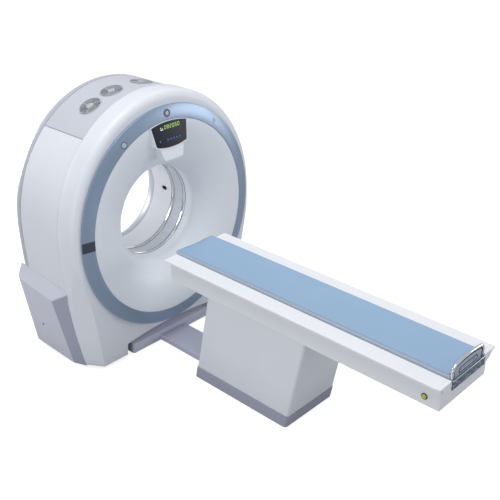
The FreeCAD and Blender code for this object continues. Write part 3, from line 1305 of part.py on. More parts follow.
def hand_plate():
    """Plate that fills the arch, with a slot for the hand."""
    left, edges = arch_edges(HANDLE_R + HAND_PLATE_GAP)
    right_foot = Vector(-left[3].x, left[3].y, left[3].z)
    edges.append(Part.LineSegment(right_foot, left[3]).toShape())
    plate = Part.Face(Part.Wire(edges)).extrude(Vector(0, HAND_PLATE, 0))
    plate.translate(Vector(0, -HAND_PLATE / 2, 0))
    front = HANDLE_Y - HAND_PLATE
    back = HANDLE_Y + HAND_PLATE
    middle = block_top + HAND_SLOT_UP
    straight = HAND_SLOT_HALF - HAND_SLOT_HIGH / 2
    slot = box(-straight, straight, front, back, middle - HAND_SLOT_HIGH / 2,
               middle + HAND_SLOT_HIGH / 2)
    for x in (-straight, straight):
        slot = slot.fuse(cylinder_y(HAND_SLOT_HIGH / 2, front, back, x, middle))
    block = box(-HANDLE_HALF, HANDLE_HALF, front, back, cradle_bottom, block_top)
    return one_solid(plate.cut(slot).cut(block))


handle = arch_handle()
handle_block = box(-CRADLE_HALF, CRADLE_HALF, HANDLE_Y - BLOCK_FRONT,
                   CRADLE_FOOT, cradle_bottom, block_top)
parts["cradle_handle"] = one_solid(handle.fuse(handle_block))
parts["handle_plate"] = hand_plate()

# ---------------------------------------------------------------- files
os.makedirs("parts", exist_ok=True)
for name, shape in parts.items():
    solids = len(shape.Solids)
    if not shape.isValid() or solids == 0:
        print("not valid:", name, solids)
    shape.exportStep("parts/" + name + ".step")
print(len(parts), "parts written")
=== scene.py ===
# %% [markdown]
# # Dressing a medical scanner
# The engineering model is already packed: every solid is a frame that stays where it is. This
# lesson gives it the looks: moulded covers with soft edges, a satin grey-blue ring, a bright
# bore, a long patient table with a welded foam pad. All sizes are metres, in the model's frame:
# +Y runs from the table to the big ring, +X to the right, +Z up.

# %% Load the frame
import json
import math

import bpy
from mathutils import Matrix, Vector
from mathutils.bvhtree import BVHTree


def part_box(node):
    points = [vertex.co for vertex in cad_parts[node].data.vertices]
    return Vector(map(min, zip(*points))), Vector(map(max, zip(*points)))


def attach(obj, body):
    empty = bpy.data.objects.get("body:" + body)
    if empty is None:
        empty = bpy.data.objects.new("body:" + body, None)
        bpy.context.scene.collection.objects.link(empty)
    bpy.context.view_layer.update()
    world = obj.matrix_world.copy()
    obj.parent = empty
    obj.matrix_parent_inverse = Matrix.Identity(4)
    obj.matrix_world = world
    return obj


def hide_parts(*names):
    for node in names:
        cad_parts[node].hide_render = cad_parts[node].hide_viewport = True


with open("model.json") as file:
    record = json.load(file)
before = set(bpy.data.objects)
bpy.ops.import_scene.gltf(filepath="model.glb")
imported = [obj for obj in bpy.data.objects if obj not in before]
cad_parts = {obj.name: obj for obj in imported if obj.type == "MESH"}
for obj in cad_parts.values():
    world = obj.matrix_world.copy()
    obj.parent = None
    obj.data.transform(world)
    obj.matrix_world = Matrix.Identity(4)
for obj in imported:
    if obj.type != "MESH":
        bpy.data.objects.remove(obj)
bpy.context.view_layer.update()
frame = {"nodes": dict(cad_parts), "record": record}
NODES = frame["nodes"]

# %% [markdown]
# The camera comes first, because every later choice is judged through it. The photograph was
# taken from the table's foot, a little left of it and above, with a lens of about 60 mm. The
# position was found by lining up the ellipses of the ring and the table's parallel edges.

# %% Camera
YAW = math.radians(46.57)
PITCH = math.radians(26.82)
ROLL = math.radians(0.16)
CAMERA_PLACE = (-3.5368, -4.1280, 3.4964)
LENS_MM = 59.50

ahead = Vector((math.sin(YAW) * math.cos(PITCH), math.cos(YAW) * math.cos(PITCH),
                -math.sin(PITCH)))
level_right = Vector((math.cos(YAW), -math.sin(YAW), 0))
down = ahead.cross(level_right)
right = level_right * math.cos(ROLL) + down * math.sin(ROLL)
up = right.cross(ahead)

lens = bpy.data.cameras.new("photo_camera")
lens.lens = LENS_MM
lens.sensor_width = 36
lens.clip_end = 200
camera = bpy.data.objects.new("photo_camera", lens)
turned_to = Matrix((right, up, -ahead)).transposed().to_4x4()
camera.matrix_world = Matrix.Translation(CAMERA_PLACE) @ turned_to
scene = bpy.context.scene
scene.collection.objects.link(camera)
scene.camera = camera
print("camera:", LENS_MM, "mm lens at", CAMERA_PLACE)

# %% [markdown]
# A product picture on white has soft light from above, a wide fill low on the right that the
# satin ring mirrors at its upper right, a weaker fill on the left, and so much light bounced from
# the white studio that no shadow is dark. A small lamp behind the machine brightens the bore. The
# strengths were set against the photograph's tones at a few dozen spots, and all stay at a level
# where a mid grey renders as mid grey.

# %% Light
scene.view_settings.view_transform = "Standard"


def soft_lamp(name, place, aim, size, watts, tint):
    data = bpy.data.lights.new(name, "AREA")
    data.shape = "DISK"
    data.size = size
    data.energy = watts
    data.color = tint
    lamp = bpy.data.objects.new(name, data)
    lamp.location = place
    lamp.rotation_euler = (Vector(aim) - Vector(place)).to_track_quat("-Z", "Y").to_euler()
    scene.collection.objects.link(lamp)
    return lamp


soft_lamp("ceiling_softbox", (-1.5, -1.0, 7.5), (0, -0.6, 0.8), 5.0, 225, (1.0, 0.99, 0.97))
soft_lamp("front_fill", (7.0, -5.7, 1.4), (0, 0, 1.3), 4.0, 125, (1.0, 1.0, 1.0))
soft_lamp("left_fill", (-6.0, -1.5, 1.6), (0, -0.5, 0.8), 3.0, 38, (1.0, 1.0, 1.0))
soft_lamp("rear_fill", (-0.7, 4.6, 1.3), (0.3, 0.3, 1.0), 1.2, 140, (1.0, 1.0, 1.0))

studio = bpy.data.worlds.new("studio")
scene.world = studio
studio.use_nodes = True
world_tree = studio.node_tree
world_tree.nodes.clear()
sky = world_tree.nodes.new("ShaderNodeBackground")
sky.inputs["Color"].default_value = (0.90, 0.93, 1.0, 1)
sky.inputs["Strength"].default_value = 0.60
backdrop = world_tree.nodes.new("ShaderNodeBackground")
backdrop.inputs["Color"].default_value = (1, 1, 1, 1)
seen = world_tree.nodes.new("ShaderNodeLightPath")
mix = world_tree.nodes.new("ShaderNodeMixShader")
world_out = world_tree.nodes.new("ShaderNodeOutputWorld")
world_tree.links.new(seen.outputs["Is Camera Ray"], mix.inputs[0])
world_tree.links.new(sky.outputs[0], mix.inputs[1])
world_tree.links.new(backdrop.outputs[0], mix.inputs[2])
world_tree.links.new(mix.outputs[0], world_out.inputs["Surface"])
print("lamps:", len(bpy.data.lights))

# %% [markdown]
# Node trees read badly as a list of links, so shader maths is written as plain expressions.
# `Value` wraps a socket and overloads the operators; `Finish` makes the nodes of one material.

# %% Shader helpers
class Value:
    """A socket that can be added, subtracted and multiplied in plain expressions."""

    def __init__(self, finish, socket):
        self.finish = finish
        self.socket = socket

    def maths(self, operation, first, second=0.0):
        return self.finish.node("ShaderNodeMath", {"operation": operation}, {0: first, 1: second})

    def __add__(self, other):
        return self.maths("ADD", self, other)

    __radd__ = __add__

    def __sub__(self, other):
        return self.maths("SUBTRACT", self, other)

    def __rsub__(self, other):
        return self.maths("SUBTRACT", other, self)

    def __mul__(self, other):
        return self.maths("MULTIPLY", self, other)

    __rmul__ = __mul__

    def above(self, other):
        return self.maths("MAXIMUM", self, other)


class Finish:
    """One procedural material. Constants go straight on the shader's own sockets."""

    def __init__(self, name, colour, rough, metal=0.0, **own):
        self.material = bpy.data.materials.new(name)
        self.material.use_nodes = True
        self.tree = self.material.node_tree
        self.shader = self.tree.nodes["Principled BSDF"]
        self.set("Base Color", colour)
        self.set("Roughness", rough)
        self.set("Metallic", metal)
        for socket, value in own.items():
            self.set(socket.replace("_", " "), value)
        self.place = self.node("ShaderNodeTexCoord", out="Object")

    def put(self, socket, value):
        if isinstance(value, Value):
            self.tree.links.new(value.socket, socket)
        elif isinstance(value, tuple) and len(value) == 3 and socket.type == "RGBA":
            socket.default_value = value + (1,)
        else:
            socket.default_value = value

    def node(self, kind, settings=None, inputs=None, out=0):
        made = self.tree.nodes.new(kind)
        for name, value in (settings or {}).items():
            if name == "stops":
                ramp = made.color_ramp
                ramp.elements[0].position, ramp.elements[1].position = value[0][0], value[-1][0]
                ramp.elements[0].color = value[0][1] + (1,)
                ramp.elements[1].color = value[-1][1] + (1,)
                for at, tint in value[1:-1]:
                    ramp.elements.new(at).color = tint + (1,)
            else:
                setattr(made, name, value)
        for name, value in (inputs or {}).items():
            self.put(made.inputs[name], value)
        return Value(self, made.outputs[out])

    def set(self, socket, value):
        self.put(self.shader.inputs[socket], value)

    def noise(self, scale, detail=3.0, rough=0.5, stretch=(1, 1, 1)):
        where = self.place
        if stretch != (1, 1, 1):
            where = self.node("ShaderNodeMapping", {}, {"Vector": where, "Scale": stretch})
        return self.node("ShaderNodeTexNoise", {},
                         {"Vector": where, "Scale": scale, "Detail": detail, "Roughness": rough})

    def axis(self, letter):
        return self.node("ShaderNodeSeparateXYZ", {}, {0: self.place}, out="XYZ".index(letter))

    def blend(self, share, low, high):
        return self.node("ShaderNodeMix", {"data_type": "RGBA"},
                         {0: share, 6: low, 7: high}, out=2)

    def bump(self, height, depth, strength=1.0):
        self.set("Normal", self.node("ShaderNodeBump", {},
                                     {"Height": height, "Distance": depth, "Strength": strength}))


def tint(red, green, blue):
    """A colour as a picture editor shows it, 0 to 255, as linear light."""
    out = []
    for level in (red, green, blue):
        share = level / 255
        out.append(share / 12.92 if share <= 0.04045 else ((share + 0.055) / 1.055) ** 2.4)
    return tuple(out)


def shade(colour, factor):
    return tuple(c * factor for c in colour)


# %% [markdown]
# Painted and moulded parts are never one flat colour. A satin cover has a very slight cloudy change
# of tone, a roughness that wanders where it is wiped, the fine orange peel of sprayed paint, and it
# turns a little darker, in patches, towards the floor. One recipe makes all of them, with its own
# colour, gloss and grain.

# %% Moulded and painted finishes
FINISHES = {}
LOW_DARKENING_HEIGHT = 0.34


def satin(name, colour, rough, cloud=0.035, peel=0.00012, peel_scale=260.0, low_darkening=0.05, **own):
    finish = Finish(name, colour, rough, **own)
    clouds = finish.noise(3.5, 4.0, 0.55)
    fine = finish.noise(38.0, 3.0, 0.6)
    tone = finish.blend(clouds * 0.7 + fine * 0.3, shade(colour, 1 - cloud),
                        shade(colour, 1 + cloud * 0.6))
    # Within a third of a metre of the floor the tone is mixed, in noisy patches, towards a darker
    # copy of itself, so the part is darker towards the bottom.
    if low_darkening:
        low = (LOW_DARKENING_HEIGHT - finish.axis("Z")).above(0.0)
        low_darkening_share = low * finish.noise(9.0, 5.0, 0.65) * (22 * low_darkening)
        tone = finish.blend(low_darkening_share, tone, shade(colour, 0.62))
    finish.set("Base Color", tone)
    finish.set("Roughness", clouds * 0.10 + fine * 0.05 + (rough - 0.075))
    finish.bump(finish.noise(peel_scale, 2.0, 0.5), peel, 0.6)
    FINISHES[name] = finish.material
    return finish


satin("cover_white", tint(231, 234, 240), 0.34)
# Painted shade: the rear cover is the same white moulding as the front, only darker, because it
# turns away from the light.
satin("cover_white:rear", tint(188, 192, 200), 0.36)
# Painted shade: the top cover is the same white moulding, made greyer than the front cover.
satin("cover_white:top", tint(204, 207, 216), 0.38)
# Painted shade: the side boxes are the same white moulding, made darker where their faces lean down
# and away from the light.
satin("cover_white:box", tint(214, 216, 226), 0.36)
satin("ring_blue", tint(150, 168, 190), 0.30, cloud=0.05, peel=0.00004, peel_scale=120, low_darkening=0,
      Metallic=0.5)
satin("funnel_grey", tint(232, 236, 241), 0.36, low_darkening=0)
satin("bore_white", tint(243, 244, 247), 0.34, low_darkening=0)
satin("badge_grey", tint(122, 134, 156), 0.3, low_darkening=0)
satin("grille_grey", tint(186, 190, 196), 0.5, low_darkening=0)
satin("fan_black", tint(40, 42, 46), 0.5, low_darkening=0)
satin("foot_grey", tint(204, 206, 224), 0.42, peel=0.0003, peel_scale=420)
satin("pedestal_white", tint(232, 236, 241), 0.42, peel=0.0003, peel_scale=420)
satin("skirt_grey", tint(170, 172, 188), 0.5, peel=0.0003, peel_scale=420)
satin("skirt_grey:bevel", tint(168, 172, 188), 0.45, peel=0.0003, peel_scale=420)
satin("tray_white", tint(242, 244, 246), 0.33, low_darkening=0)
satin("plate_pale", tint(178, 190, 206), 0.4, low_darkening=0)
satin("dark_plate", tint(62, 64, 80), 0.25, low_darkening=0, peel=0.00003)
satin("black_plastic", tint(28, 28, 30), 0.38, low_darkening=0, peel=0.0002, peel_scale=900)
satin("stop_yellow", tint(206, 214, 62), 0.28, low_darkening=0, peel=0.00002)
satin("cradle_grey", tint(184, 194, 208), 0.3, low_darkening=0)
satin("frame_steel", tint(92, 98, 108), 0.5, peel=0.0004, peel_scale=420)
satin("unit_grey", tint(170, 176, 186), 0.42, peel=0.0003, peel_scale=420)
satin("rubber_black", tint(40, 40, 42), 0.75, low_darkening=0, peel=0.0003, peel_scale=700)
satin("rubber_black:seam", tint(84, 88, 96), 0.6, low_darkening=0)
satin("rubber_black:joint", tint(150, 154, 162), 0.6, low_darkening=0)
satin("key_blue", tint(40, 92, 168), 0.3, low_darkening=0, peel=0.00002)
print("satin finishes:", len(FINISHES))

# %% [markdown]
# Turned and drawn metal has fine lines along the way it was worked. A noise that is squeezed along
# one axis gives them, and the same grain drives tone, roughness and bump, so they stay together.
# An anisotropic shader could do it too, but the grain is cheaper.

# %% Metals
def metal(name, colour, rough, stretch, scale=160.0, depth=0.00003):
    finish = Finish(name, colour, rough, 1.0)
    grain = finish.noise(scale, 4.0, 0.6, stretch)
    finish.set("Base Color", finish.blend(grain, shade(colour, 0.86), shade(colour, 1.05)))
    finish.set("Roughness", grain * 0.12 + (rough - 0.05))
    finish.bump(grain, depth, 0.5)
    FINISHES[name] = finish.material
    return finish


metal("bright_metal", (0.83, 0.84, 0.86), 0.14, (1, 6, 1))
metal("bearing_steel", (0.60, 0.61, 0.63), 0.3, (1, 20, 1))
metal("rotor_alu", (0.68, 0.69, 0.71), 0.36, (1, 14, 1), 60)
metal("brass", (0.75, 0.60, 0.30), 0.3, (1, 30, 1))
print("finishes with the metals:", len(FINISHES))

# %% [markdown]
# The panel at the table's foot end is a slate-coloured sheet with pale specks. Cells of a Voronoi
# texture are the natural choice: the distance to each cell's middle makes a round soft speck.

# %% Speckled panel
def speckled_slate():
    finish = Finish("panel_slate", tint(86, 98, 118), 0.5)
    specks = finish.node("ShaderNodeTexVoronoi", {}, {"Vector": finish.place, "Scale": 75.0})
    light = (0.38 - specks).above(0.0) * 8.0
    tone = finish.blend(finish.noise(30.0, 4.0), tint(78, 90, 110), tint(96, 108, 128))
    finish.set("Base Color", finish.blend(light, tone, tint(186, 196, 212)))
    finish.bump(finish.noise(900.0, 2.0), 0.0002)
    FINISHES["panel_slate"] = finish.material


speckled_slate()
print("specks:", FINISHES["panel_slate"].name)

# %% [markdown]
# The scan window is a thin film drawn tight round the bore. It is nearly plain, with faint bands
# that run from front to back, so its noise is stretched along Y.

# %% Scan window's film
def window_film():
    finish = Finish("window_pale", tint(205, 210, 218), 0.42)
    bands = finish.noise(60.0, 2.0, 0.5, (1, 0.02, 1))
    finish.set("Base Color", finish.blend(bands, tint(196, 202, 211), tint(212, 217, 224)))
    finish.bump(finish.noise(700.0, 2.0), 0.00006)
    FINISHES["window_pale"] = finish.material


window_film()
print("film:", FINISHES["window_pale"].name)

# %% [markdown]
# The display is dark coated glass. Real glass over a black sheet would show the same thing at a
# higher cost, so one dark glossy surface stands for both, with a weak mirror as the coating gives.

# %% Display glass
def display_glass():
    finish = Finish("display_dark", tint(30, 34, 42), 0.16, Specular_IOR_Level=0.2)
    sheen = finish.noise(14.0, 3.0)
    finish.set("Base Color", finish.blend(sheen, tint(25, 30, 38), tint(40, 41, 54)))
    finish.set("Roughness", sheen * 0.08 + 0.12)
    FINISHES["display_dark"] = finish.material


display_glass()
print("glass:", FINISHES["display_dark"].name)

# %% [markdown]
# The pad's cover is a coated cloth that can be wiped clean. Its grain is pressed into the coating
# at about a millimetre, so it is a matter for bump, and its sheen changes slowly along the pad.

# %% Pad's coated cloth
def coated_cloth():
    """Light-blue coated cover of the pad: fine pressed grain, slightly uneven sheen."""
    finish = Finish("pad_blue", tint(149, 179, 208), 0.5)
    soft = finish.noise(5.0, 4.0, 0.55)
    fine = finish.noise(240.0, 2.0, 0.5)
    tone = finish.blend(soft * 0.7 + fine * 0.3, tint(144, 175, 204), tint(155, 184, 211))
    finish.set("Base Color", tone)
    finish.set("Roughness", soft * 0.12 + 0.42)
    finish.bump(finish.noise(620.0, 3.0, 0.6), 0.00022, 0.7)
    FINISHES["pad_blue"] = finish.material


coated_cloth()
print("cloth:", FINISHES["pad_blue"].name)

# %% [markdown]
# The display's bars are lit from behind. They carry their own light, a little uneven as a lit film
# is, and weak enough that the green keeps its colour.

# %% Lit bars
def glow(name, colour, strength):
    """A lit element behind glass, a little uneven."""
    finish = Finish(name, colour, 0.3)
    uneven = finish.noise(900.0, 2.0)
    finish.set("Base Color", finish.blend(uneven, shade(colour, 0.8), colour))
    finish.set("Emission Color", finish.blend(uneven, shade(colour, 0.75), colour))
    finish.set("Emission Strength", strength)
    FINISHES[name] = finish.material


glow("digit_green", tint(150, 196, 84), 0.9)
glow("sign_white", tint(226, 232, 226), 0.7)
print("all finishes:", len(FINISHES))

# %% [markdown]
# Each solid names its material slot, and the finish of the same name is put there. Pieces that
# are modelled later take their finish from the same list.

# %% Give every solid its finish
painted = 0
for node_name, node in NODES.items():
    slot_name = node.data.materials[0].name.split(".")[0] if node.data.materials else ""
    if slot_name not in FINISHES:
        print("slot?", node_name, slot_name)
        continue
    node.data.materials.clear()
    node.data.materials.append(FINISHES[slot_name])
    painted += 1
print("solids with a finish:", painted, "of", len(NODES))

# %% [markdown]
# Blender's operators act on whatever is selected, so every step begins by clearing the selection.
# A finished piece is named, painted and hung on its body, and the solid it stands for is hidden, all
# in one call, because a step that is forgotten there would leave a piece behind when the machine
# moves.

# %% Selecting and settling
SLOTS = {row["slot"] for row in frame["record"]["materials"]}


def rest():
    bpy.ops.object.select_all(action="DESELECT")


def hold(piece):
    """Select one object and make it active."""
    rest()
    piece.select_set(True)
    bpy.context.view_layer.objects.active = piece


def settle(piece, name, finish, body, *replaced):
    """Name a finished piece, paint it, and hang it on its body."""
    piece.name = name
    piece.data.name = name
    piece.data.materials.clear()
    piece.data.materials.append(FINISHES[finish])
    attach(piece, body)
    if replaced:
        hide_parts(*replaced)
    slot_name = finish.split(":")[0]
    slot_name in SLOTS
    return piece


print("slots in the record:", len(SLOTS))

# %% [markdown]
# Modifiers finish most pieces: a wall, a rounding, a cut. Each is applied as soon as it is added, so
# the next step works on real faces.

# %% Modifiers
def apply(piece, kind, **settings):
    """Add a modifier and apply it at once."""
    hold(piece)
    modifier = piece.modifiers.new(kind.lower(), kind)
    for key, value in settings.items():
        setattr(modifier, key, value)
    bpy.ops.object.modifier_apply(modifier=modifier.name)


def round_edges(piece, width, segments=3, above=30):
    apply(piece, "BEVEL", width=width, segments=segments, limit_method="ANGLE",
          angle_limit=math.radians(above), use_clamp_overlap=True, harden_normals=False)


def smooth(piece, angle=30):
    hold(piece)
    bpy.ops.object.shade_smooth_by_angle(angle=math.radians(angle))


def done():
    bpy.ops.object.mode_set(mode="OBJECT")


print("modifier helpers ready")

# %% [markdown]
# The engineering solids have the right places and sizes, but every one of their edges is a knife
# edge, and light shows that at once. Parts whose form is right are copied, merged from loose
# triangles into clean faces, and given a small rounding along the sharp edges. It could be done
# with a shader bevel, but real geometry also shows in silhouette.

# %% Dressed copies of solids
def body_of(node):
    for body, nodes in frame["record"]["behaviour"]["bodies"].items():
        if node in nodes:
            return body


def copied(node):
    """A merged copy of one engineering solid."""
    piece = bpy.data.objects.new(node + "_copy", NODES[node].data.copy())
    scene.collection.objects.link(piece)
    hold(piece)
    bpy.ops.object.mode_set(mode="EDIT")
    bpy.ops.mesh.select_all(action="SELECT")
    bpy.ops.mesh.remove_doubles(threshold=0.00002)
    bpy.ops.mesh.dissolve_limited(angle_limit=math.radians(0.4))
    done()
    return piece


def dressed(node, finish, width, segments=3, above=32, angle=35):
    """The copy of a solid with rounded edges, standing for that solid."""
    piece = copied(node)
    round_edges(piece, width, segments, above)
    smooth(piece, angle)
    apply(piece, "WEIGHTED_NORMAL", keep_sharp=True)
    return settle(piece, node + "_dressed", finish, body_of(node), node)


print("the pad rides on:", body_of("cradle_pad"))

# %% [markdown]
# The big covers are soft shells around the bore. A cover like that is drawn as rows of points:
# every row runs once round the machine, and the rows step forwards and then inwards over the
# rounded edge. A bevelled box would be quicker, but it can't follow the outline's slow curves.

# %% Rows round the machine
BORE_Z = 1.030
HALF_WIDTH = 0.838
CROWN = 0.922
SIDE_RADIUS = 4.368
SIDE_STEPS = 34
TOP_STEPS = 120
BOTTOM_STEPS = 6
BOTTOM_TURN = 24
BELOW = -0.12


def side_drop(z, inset):
    radius = SIDE_RADIUS - inset
    return radius - math.sqrt(radius ** 2 - (BORE_Z - z) ** 2)


def outline_row(y, inset, side=0.0, top=0.0):
    """Once round the gantry's outline: up the right side, over the top, down the left."""
    half = HALF_WIDTH - side - inset
    rise = CROWN - top - inset
    foot = half - side_drop(BELOW, inset)
    right = [Vector((foot * i / BOTTOM_STEPS, y, BELOW)) for i in range(BOTTOM_STEPS)]
    for i in range(SIDE_STEPS):
        z = BELOW + (BORE_Z - BELOW) * i / SIDE_STEPS
        right.append(Vector((half - side_drop(z, inset), y, z)))
    over = []
    for i in range(TOP_STEPS + 1):
        turn = math.pi * i / TOP_STEPS
        over.append(Vector((half * math.cos(turn), y, BORE_Z + rise * math.sin(turn))))
    left = [Vector((-p.x, p.y, p.z)) for p in reversed(right)]
    return right + over + left


def oval_row(y, half_x, half_z):
    """Once round an ellipse, with as many points as an outline row, one for one."""
    right = []
    for i in range(BOTTOM_STEPS):
        turn = -math.pi / 2 + math.radians(BOTTOM_TURN) * i / BOTTOM_STEPS
        right.append(Vector((half_x * math.cos(turn), y, BORE_Z + half_z * math.sin(turn))))
    for i in range(SIDE_STEPS):
        turn = math.radians((BOTTOM_TURN - 90) * (1 - i / SIDE_STEPS))
        right.append(Vector((half_x * math.cos(turn), y, BORE_Z + half_z * math.sin(turn))))
    over = []
    for i in range(TOP_STEPS + 1):
        turn = math.pi * i / TOP_STEPS
        over.append(Vector((half_x * math.cos(turn), y, BORE_Z + half_z * math.sin(turn))))
    left = [Vector((-p.x, p.y, p.z)) for p in reversed(right)]
    return right + over + left


print("points in a row:", len(outline_row(0, 0)))

# %% [markdown]
# The rows become a mesh by way of a grid primitive, because its faces are already in order. Faces
# could be listed by hand, but then every mistake in the order is a hole in the shell.

# %% From rows to a shell
def between(first, last, share):
    return [a.lerp(b, share) for a, b in zip(first, last)]


def sheet(columns, rows, place):
    """A grid primitive with each vertex where place(column, row) puts it."""
    rest()
    bpy.ops.mesh.primitive_grid_add(x_subdivisions=columns, y_subdivisions=rows)
    piece = bpy.context.object
    for index, vertex in enumerate(piece.data.vertices):
        row, column = divmod(index, columns + 1)
        vertex.co = place(column, row)
    return piece


def wrap(rows):
    """Lay a grid primitive through rows of points and merge its ends."""
    piece = sheet(len(rows[0]) - 1, len(rows) - 1, lambda column, row: rows[row][column])
    bpy.ops.object.mode_set(mode="EDIT")
    bpy.ops.mesh.select_all(action="SELECT")
    bpy.ops.mesh.remove_doubles(threshold=0.00002)
    done()
    return piece


def join(*pieces):
    rest()
    for piece in pieces:
        piece.select_set(True)
    bpy.context.view_layer.objects.active = pieces[0]
    bpy.ops.object.join()
    return pieces[0]


print("row helpers ready")

# %% [markdown]
# The front cover is one moulding. Its edge rounds over at a radius of 55 mm, and its face leans
# back near the floor. Both are curves of the rows themselves, so the big edge needs no bevel.

# %% Front cover's curve
SEAM_FRONT = 0.185
SHOULDER = 0.128
FACE = 0.015
EDGE_ROUND = 0.055
COVER_BOTTOM = 0.030
LEAN_FROM = 0.60
LEAN_BACK = 0.051
RING_OUT = (0.778, 0.827)
RING_IN = (0.685, 0.728)

cover_rows = [outline_row(y, 0) for y in (SEAM_FRONT, SHOULDER, FACE + EDGE_ROUND)]
ROUND_STEPS = 10
for step in range(1, ROUND_STEPS + 1):
    turn = math.pi / 2 * step / ROUND_STEPS
    cover_rows.append(outline_row(FACE + EDGE_ROUND * (1 - math.sin(turn)),
                                  EDGE_ROUND * (1 - math.cos(turn))))
opening = oval_row(FACE, RING_OUT[0] - 0.004, RING_OUT[1] - 0.004)
FACE_STEPS = 8
for step in range(1, FACE_STEPS + 1):
    cover_rows.append(between(cover_rows[2 + ROUND_STEPS], opening, step / FACE_STEPS))
front = wrap(cover_rows)
for vertex in front.data.vertices:
    low = max(0.0, LEAN_FROM - vertex.co.z) / (LEAN_FROM - COVER_BOTTOM)
    vertex.co.y += LEAN_BACK * low ** 1.35 * (SEAM_FRONT - vertex.co.y) / (SEAM_FRONT - FACE)
print("front cover's rows:", len(cover_rows))

# %% [markdown]
# Two flat facets take off the cover's lower corners. A facet is made by cutting an edge loop along
# its plane and pressing what lies beyond onto it, because a boolean would leave a hole to be
# closed. The shell is then cut off level a little above the floor.

# %% Front cover's facets
def choose(piece, test, kind="VERT"):
    """Select vertices or faces by their place, then stay in edit mode."""
    hold(piece)
    bpy.ops.object.mode_set(mode="EDIT")
    bpy.ops.mesh.select_mode(type="VERT")
    bpy.ops.mesh.select_all(action="DESELECT")
    done()
    if kind == "VERT":
        for vertex in piece.data.vertices:
            vertex.select = test(vertex.co)
    else:
        for face in piece.data.polygons:
            face.select = test(face.center, face.normal)
    bpy.ops.object.mode_set(mode="EDIT")
    bpy.ops.mesh.select_mode(type=kind)


def cut_below(piece, height):
    """Cut a shell off level at this height."""
    choose(piece, lambda co: True)
    bpy.ops.mesh.bisect(plane_co=(0, 0, height), plane_no=(0, 0, -1), use_fill=False,
                        clear_outer=True)
    done()


FACET = [(HALF_WIDTH - 0.190, 0.070, COVER_BOTTOM), (HALF_WIDTH - 0.042, 0.050, 0.724),
         (HALF_WIDTH - 0.116, SEAM_FRONT, COVER_BOTTOM)]
for side in (1, -1):
    a, b, c = (Vector((side * x, y, z)) for x, y, z in FACET)
    facing = (b - a).cross(c - a).normalized()
    if facing.x * side < 0:
        facing = -facing
    choose(front, lambda co: co.x * side > 0)
    bpy.ops.mesh.bisect(plane_co=a, plane_no=facing, use_fill=False, clear_inner=False,
                        clear_outer=False)
    done()
    for vertex in front.data.vertices:
        beyond = (vertex.co - a).dot(facing)
        if beyond > 0 and vertex.co.x * side > 0:
            vertex.co -= facing * beyond

cut_below(front, COVER_BOTTOM)
print("front cover shell:", len(front.data.polygons), "faces")

# %% [markdown]
# The middle covers lap over a lip behind the front cover, which is a second, narrower band. Both
# get their wall from Solidify, which keeps it even also round the bends.

# %% Front cover's lip and wall
COVER_WALL = 0.006
LIP_IN = 0.0065
cover_lip = wrap([outline_row(y, LIP_IN, 0.005, 0.015) for y in (0.199, 0.170)])
cut_below(cover_lip, COVER_BOTTOM)
for shell in (front, cover_lip):
    apply(shell, "SOLIDIFY", thickness=COVER_WALL, offset=-1, use_even_offset=True)
print("lip:", len(cover_lip.data.polygons), "faces")

# %% [markdown]
# An arch at the bottom of the front cover clears the foot. It is drawn once as a solid and taken
# out with a boolean, which keeps its curve exact, and a bevel softens the cover's edges.

# %% Front cover's arch
def face_out():
    """Leave edit mode with every face turned outwards."""
    bpy.ops.mesh.select_all(action="SELECT")
    bpy.ops.mesh.normals_make_consistent(inside=False)
    done()


def extrude(piece, depth):
    """Give a flat piece a depth along Y."""
    hold(piece)
    bpy.ops.object.mode_set(mode="EDIT")
    bpy.ops.mesh.select_all(action="SELECT")
    bpy.ops.mesh.extrude_region_move(TRANSFORM_OT_translate={"value": (0, depth, 0)})
    face_out()


ARCH_HALF = 0.430
ARCH_SIDE = 0.128
ARCH_RISE = 0.037
ARCH_STEPS = 32
ARCH_FRONT = -0.05
ARCH_DEPTH = 0.21


def arch_point(column, row):
    x = -ARCH_HALF + 2 * ARCH_HALF * column / ARCH_STEPS
    top = ARCH_SIDE + ARCH_RISE * (1 - (x / ARCH_HALF) ** 2)
    return x, ARCH_FRONT, top if row else 0.0


arch = sheet(ARCH_STEPS, 1, arch_point)
extrude(arch, ARCH_DEPTH)
apply(front, "BOOLEAN", object=arch, operation="DIFFERENCE", solver="EXACT")
bpy.data.objects.remove(arch)
round_edges(front, 0.004, 3, 24)
front = join(front, cover_lip)
smooth(front, 40)
settle(front, "front_cover_shell", "cover_white", "gantry", "front_cover")
print("front cover:", len(front.data.polygons), "faces")

# %% [markdown]
# The coloured ring is a closed section carried round the machine: a thin skirt at its back, a
# square outer edge, and a face that slopes forwards to the bore. A row that returns to where it
# began closes the section, so no wall has to be added. The ring is an ellipse, so it can't be spun.

# %% Front ring
def outwards(piece):
    """Turn every face of a piece outwards."""
    hold(piece)
    bpy.ops.object.mode_set(mode="EDIT")
    face_out()


def ring_row(y, inside_x, inside_z=None):
    """An ellipse this far inside the ring's outer edge."""
    inside_z = inside_x if inside_z is None else inside_z
    return oval_row(y, RING_OUT[0] - inside_x, RING_OUT[1] - inside_z)


RING_BACK = 0.066
RING_FRONT = -0.018
SKIRT_OUT = 0.0045
SKIRT_IN = 0.0095
wide = (RING_OUT[0] - RING_IN[0], RING_OUT[1] - RING_IN[1])
section = [(RING_BACK, SKIRT_IN), (RING_BACK, SKIRT_OUT), (FACE, SKIRT_OUT), (FACE, 0.0),
           (0.0, 0.0), (RING_FRONT, *wide), (FACE, *wide), (FACE, SKIRT_IN), (RING_BACK, SKIRT_IN)]
ring = wrap([ring_row(*place) for place in section])
outwards(ring)
round_edges(ring, 0.003, 3, 40)
smooth(ring, 40)
settle(ring, "front_ring_band", "ring_blue", "gantry", "front_ring")
print("ring:", len(ring.data.polygons), "faces")

# %% [markdown]
# The funnel is the same idea: rows that follow a quarter of an ellipse from the ring's inner edge
# down to the round bore. A loft between two curves would do the same; the rows keep its points in
# line with the ring's. A narrow groove at its rim keeps it apart from the ring, as two mouldings
# always are.

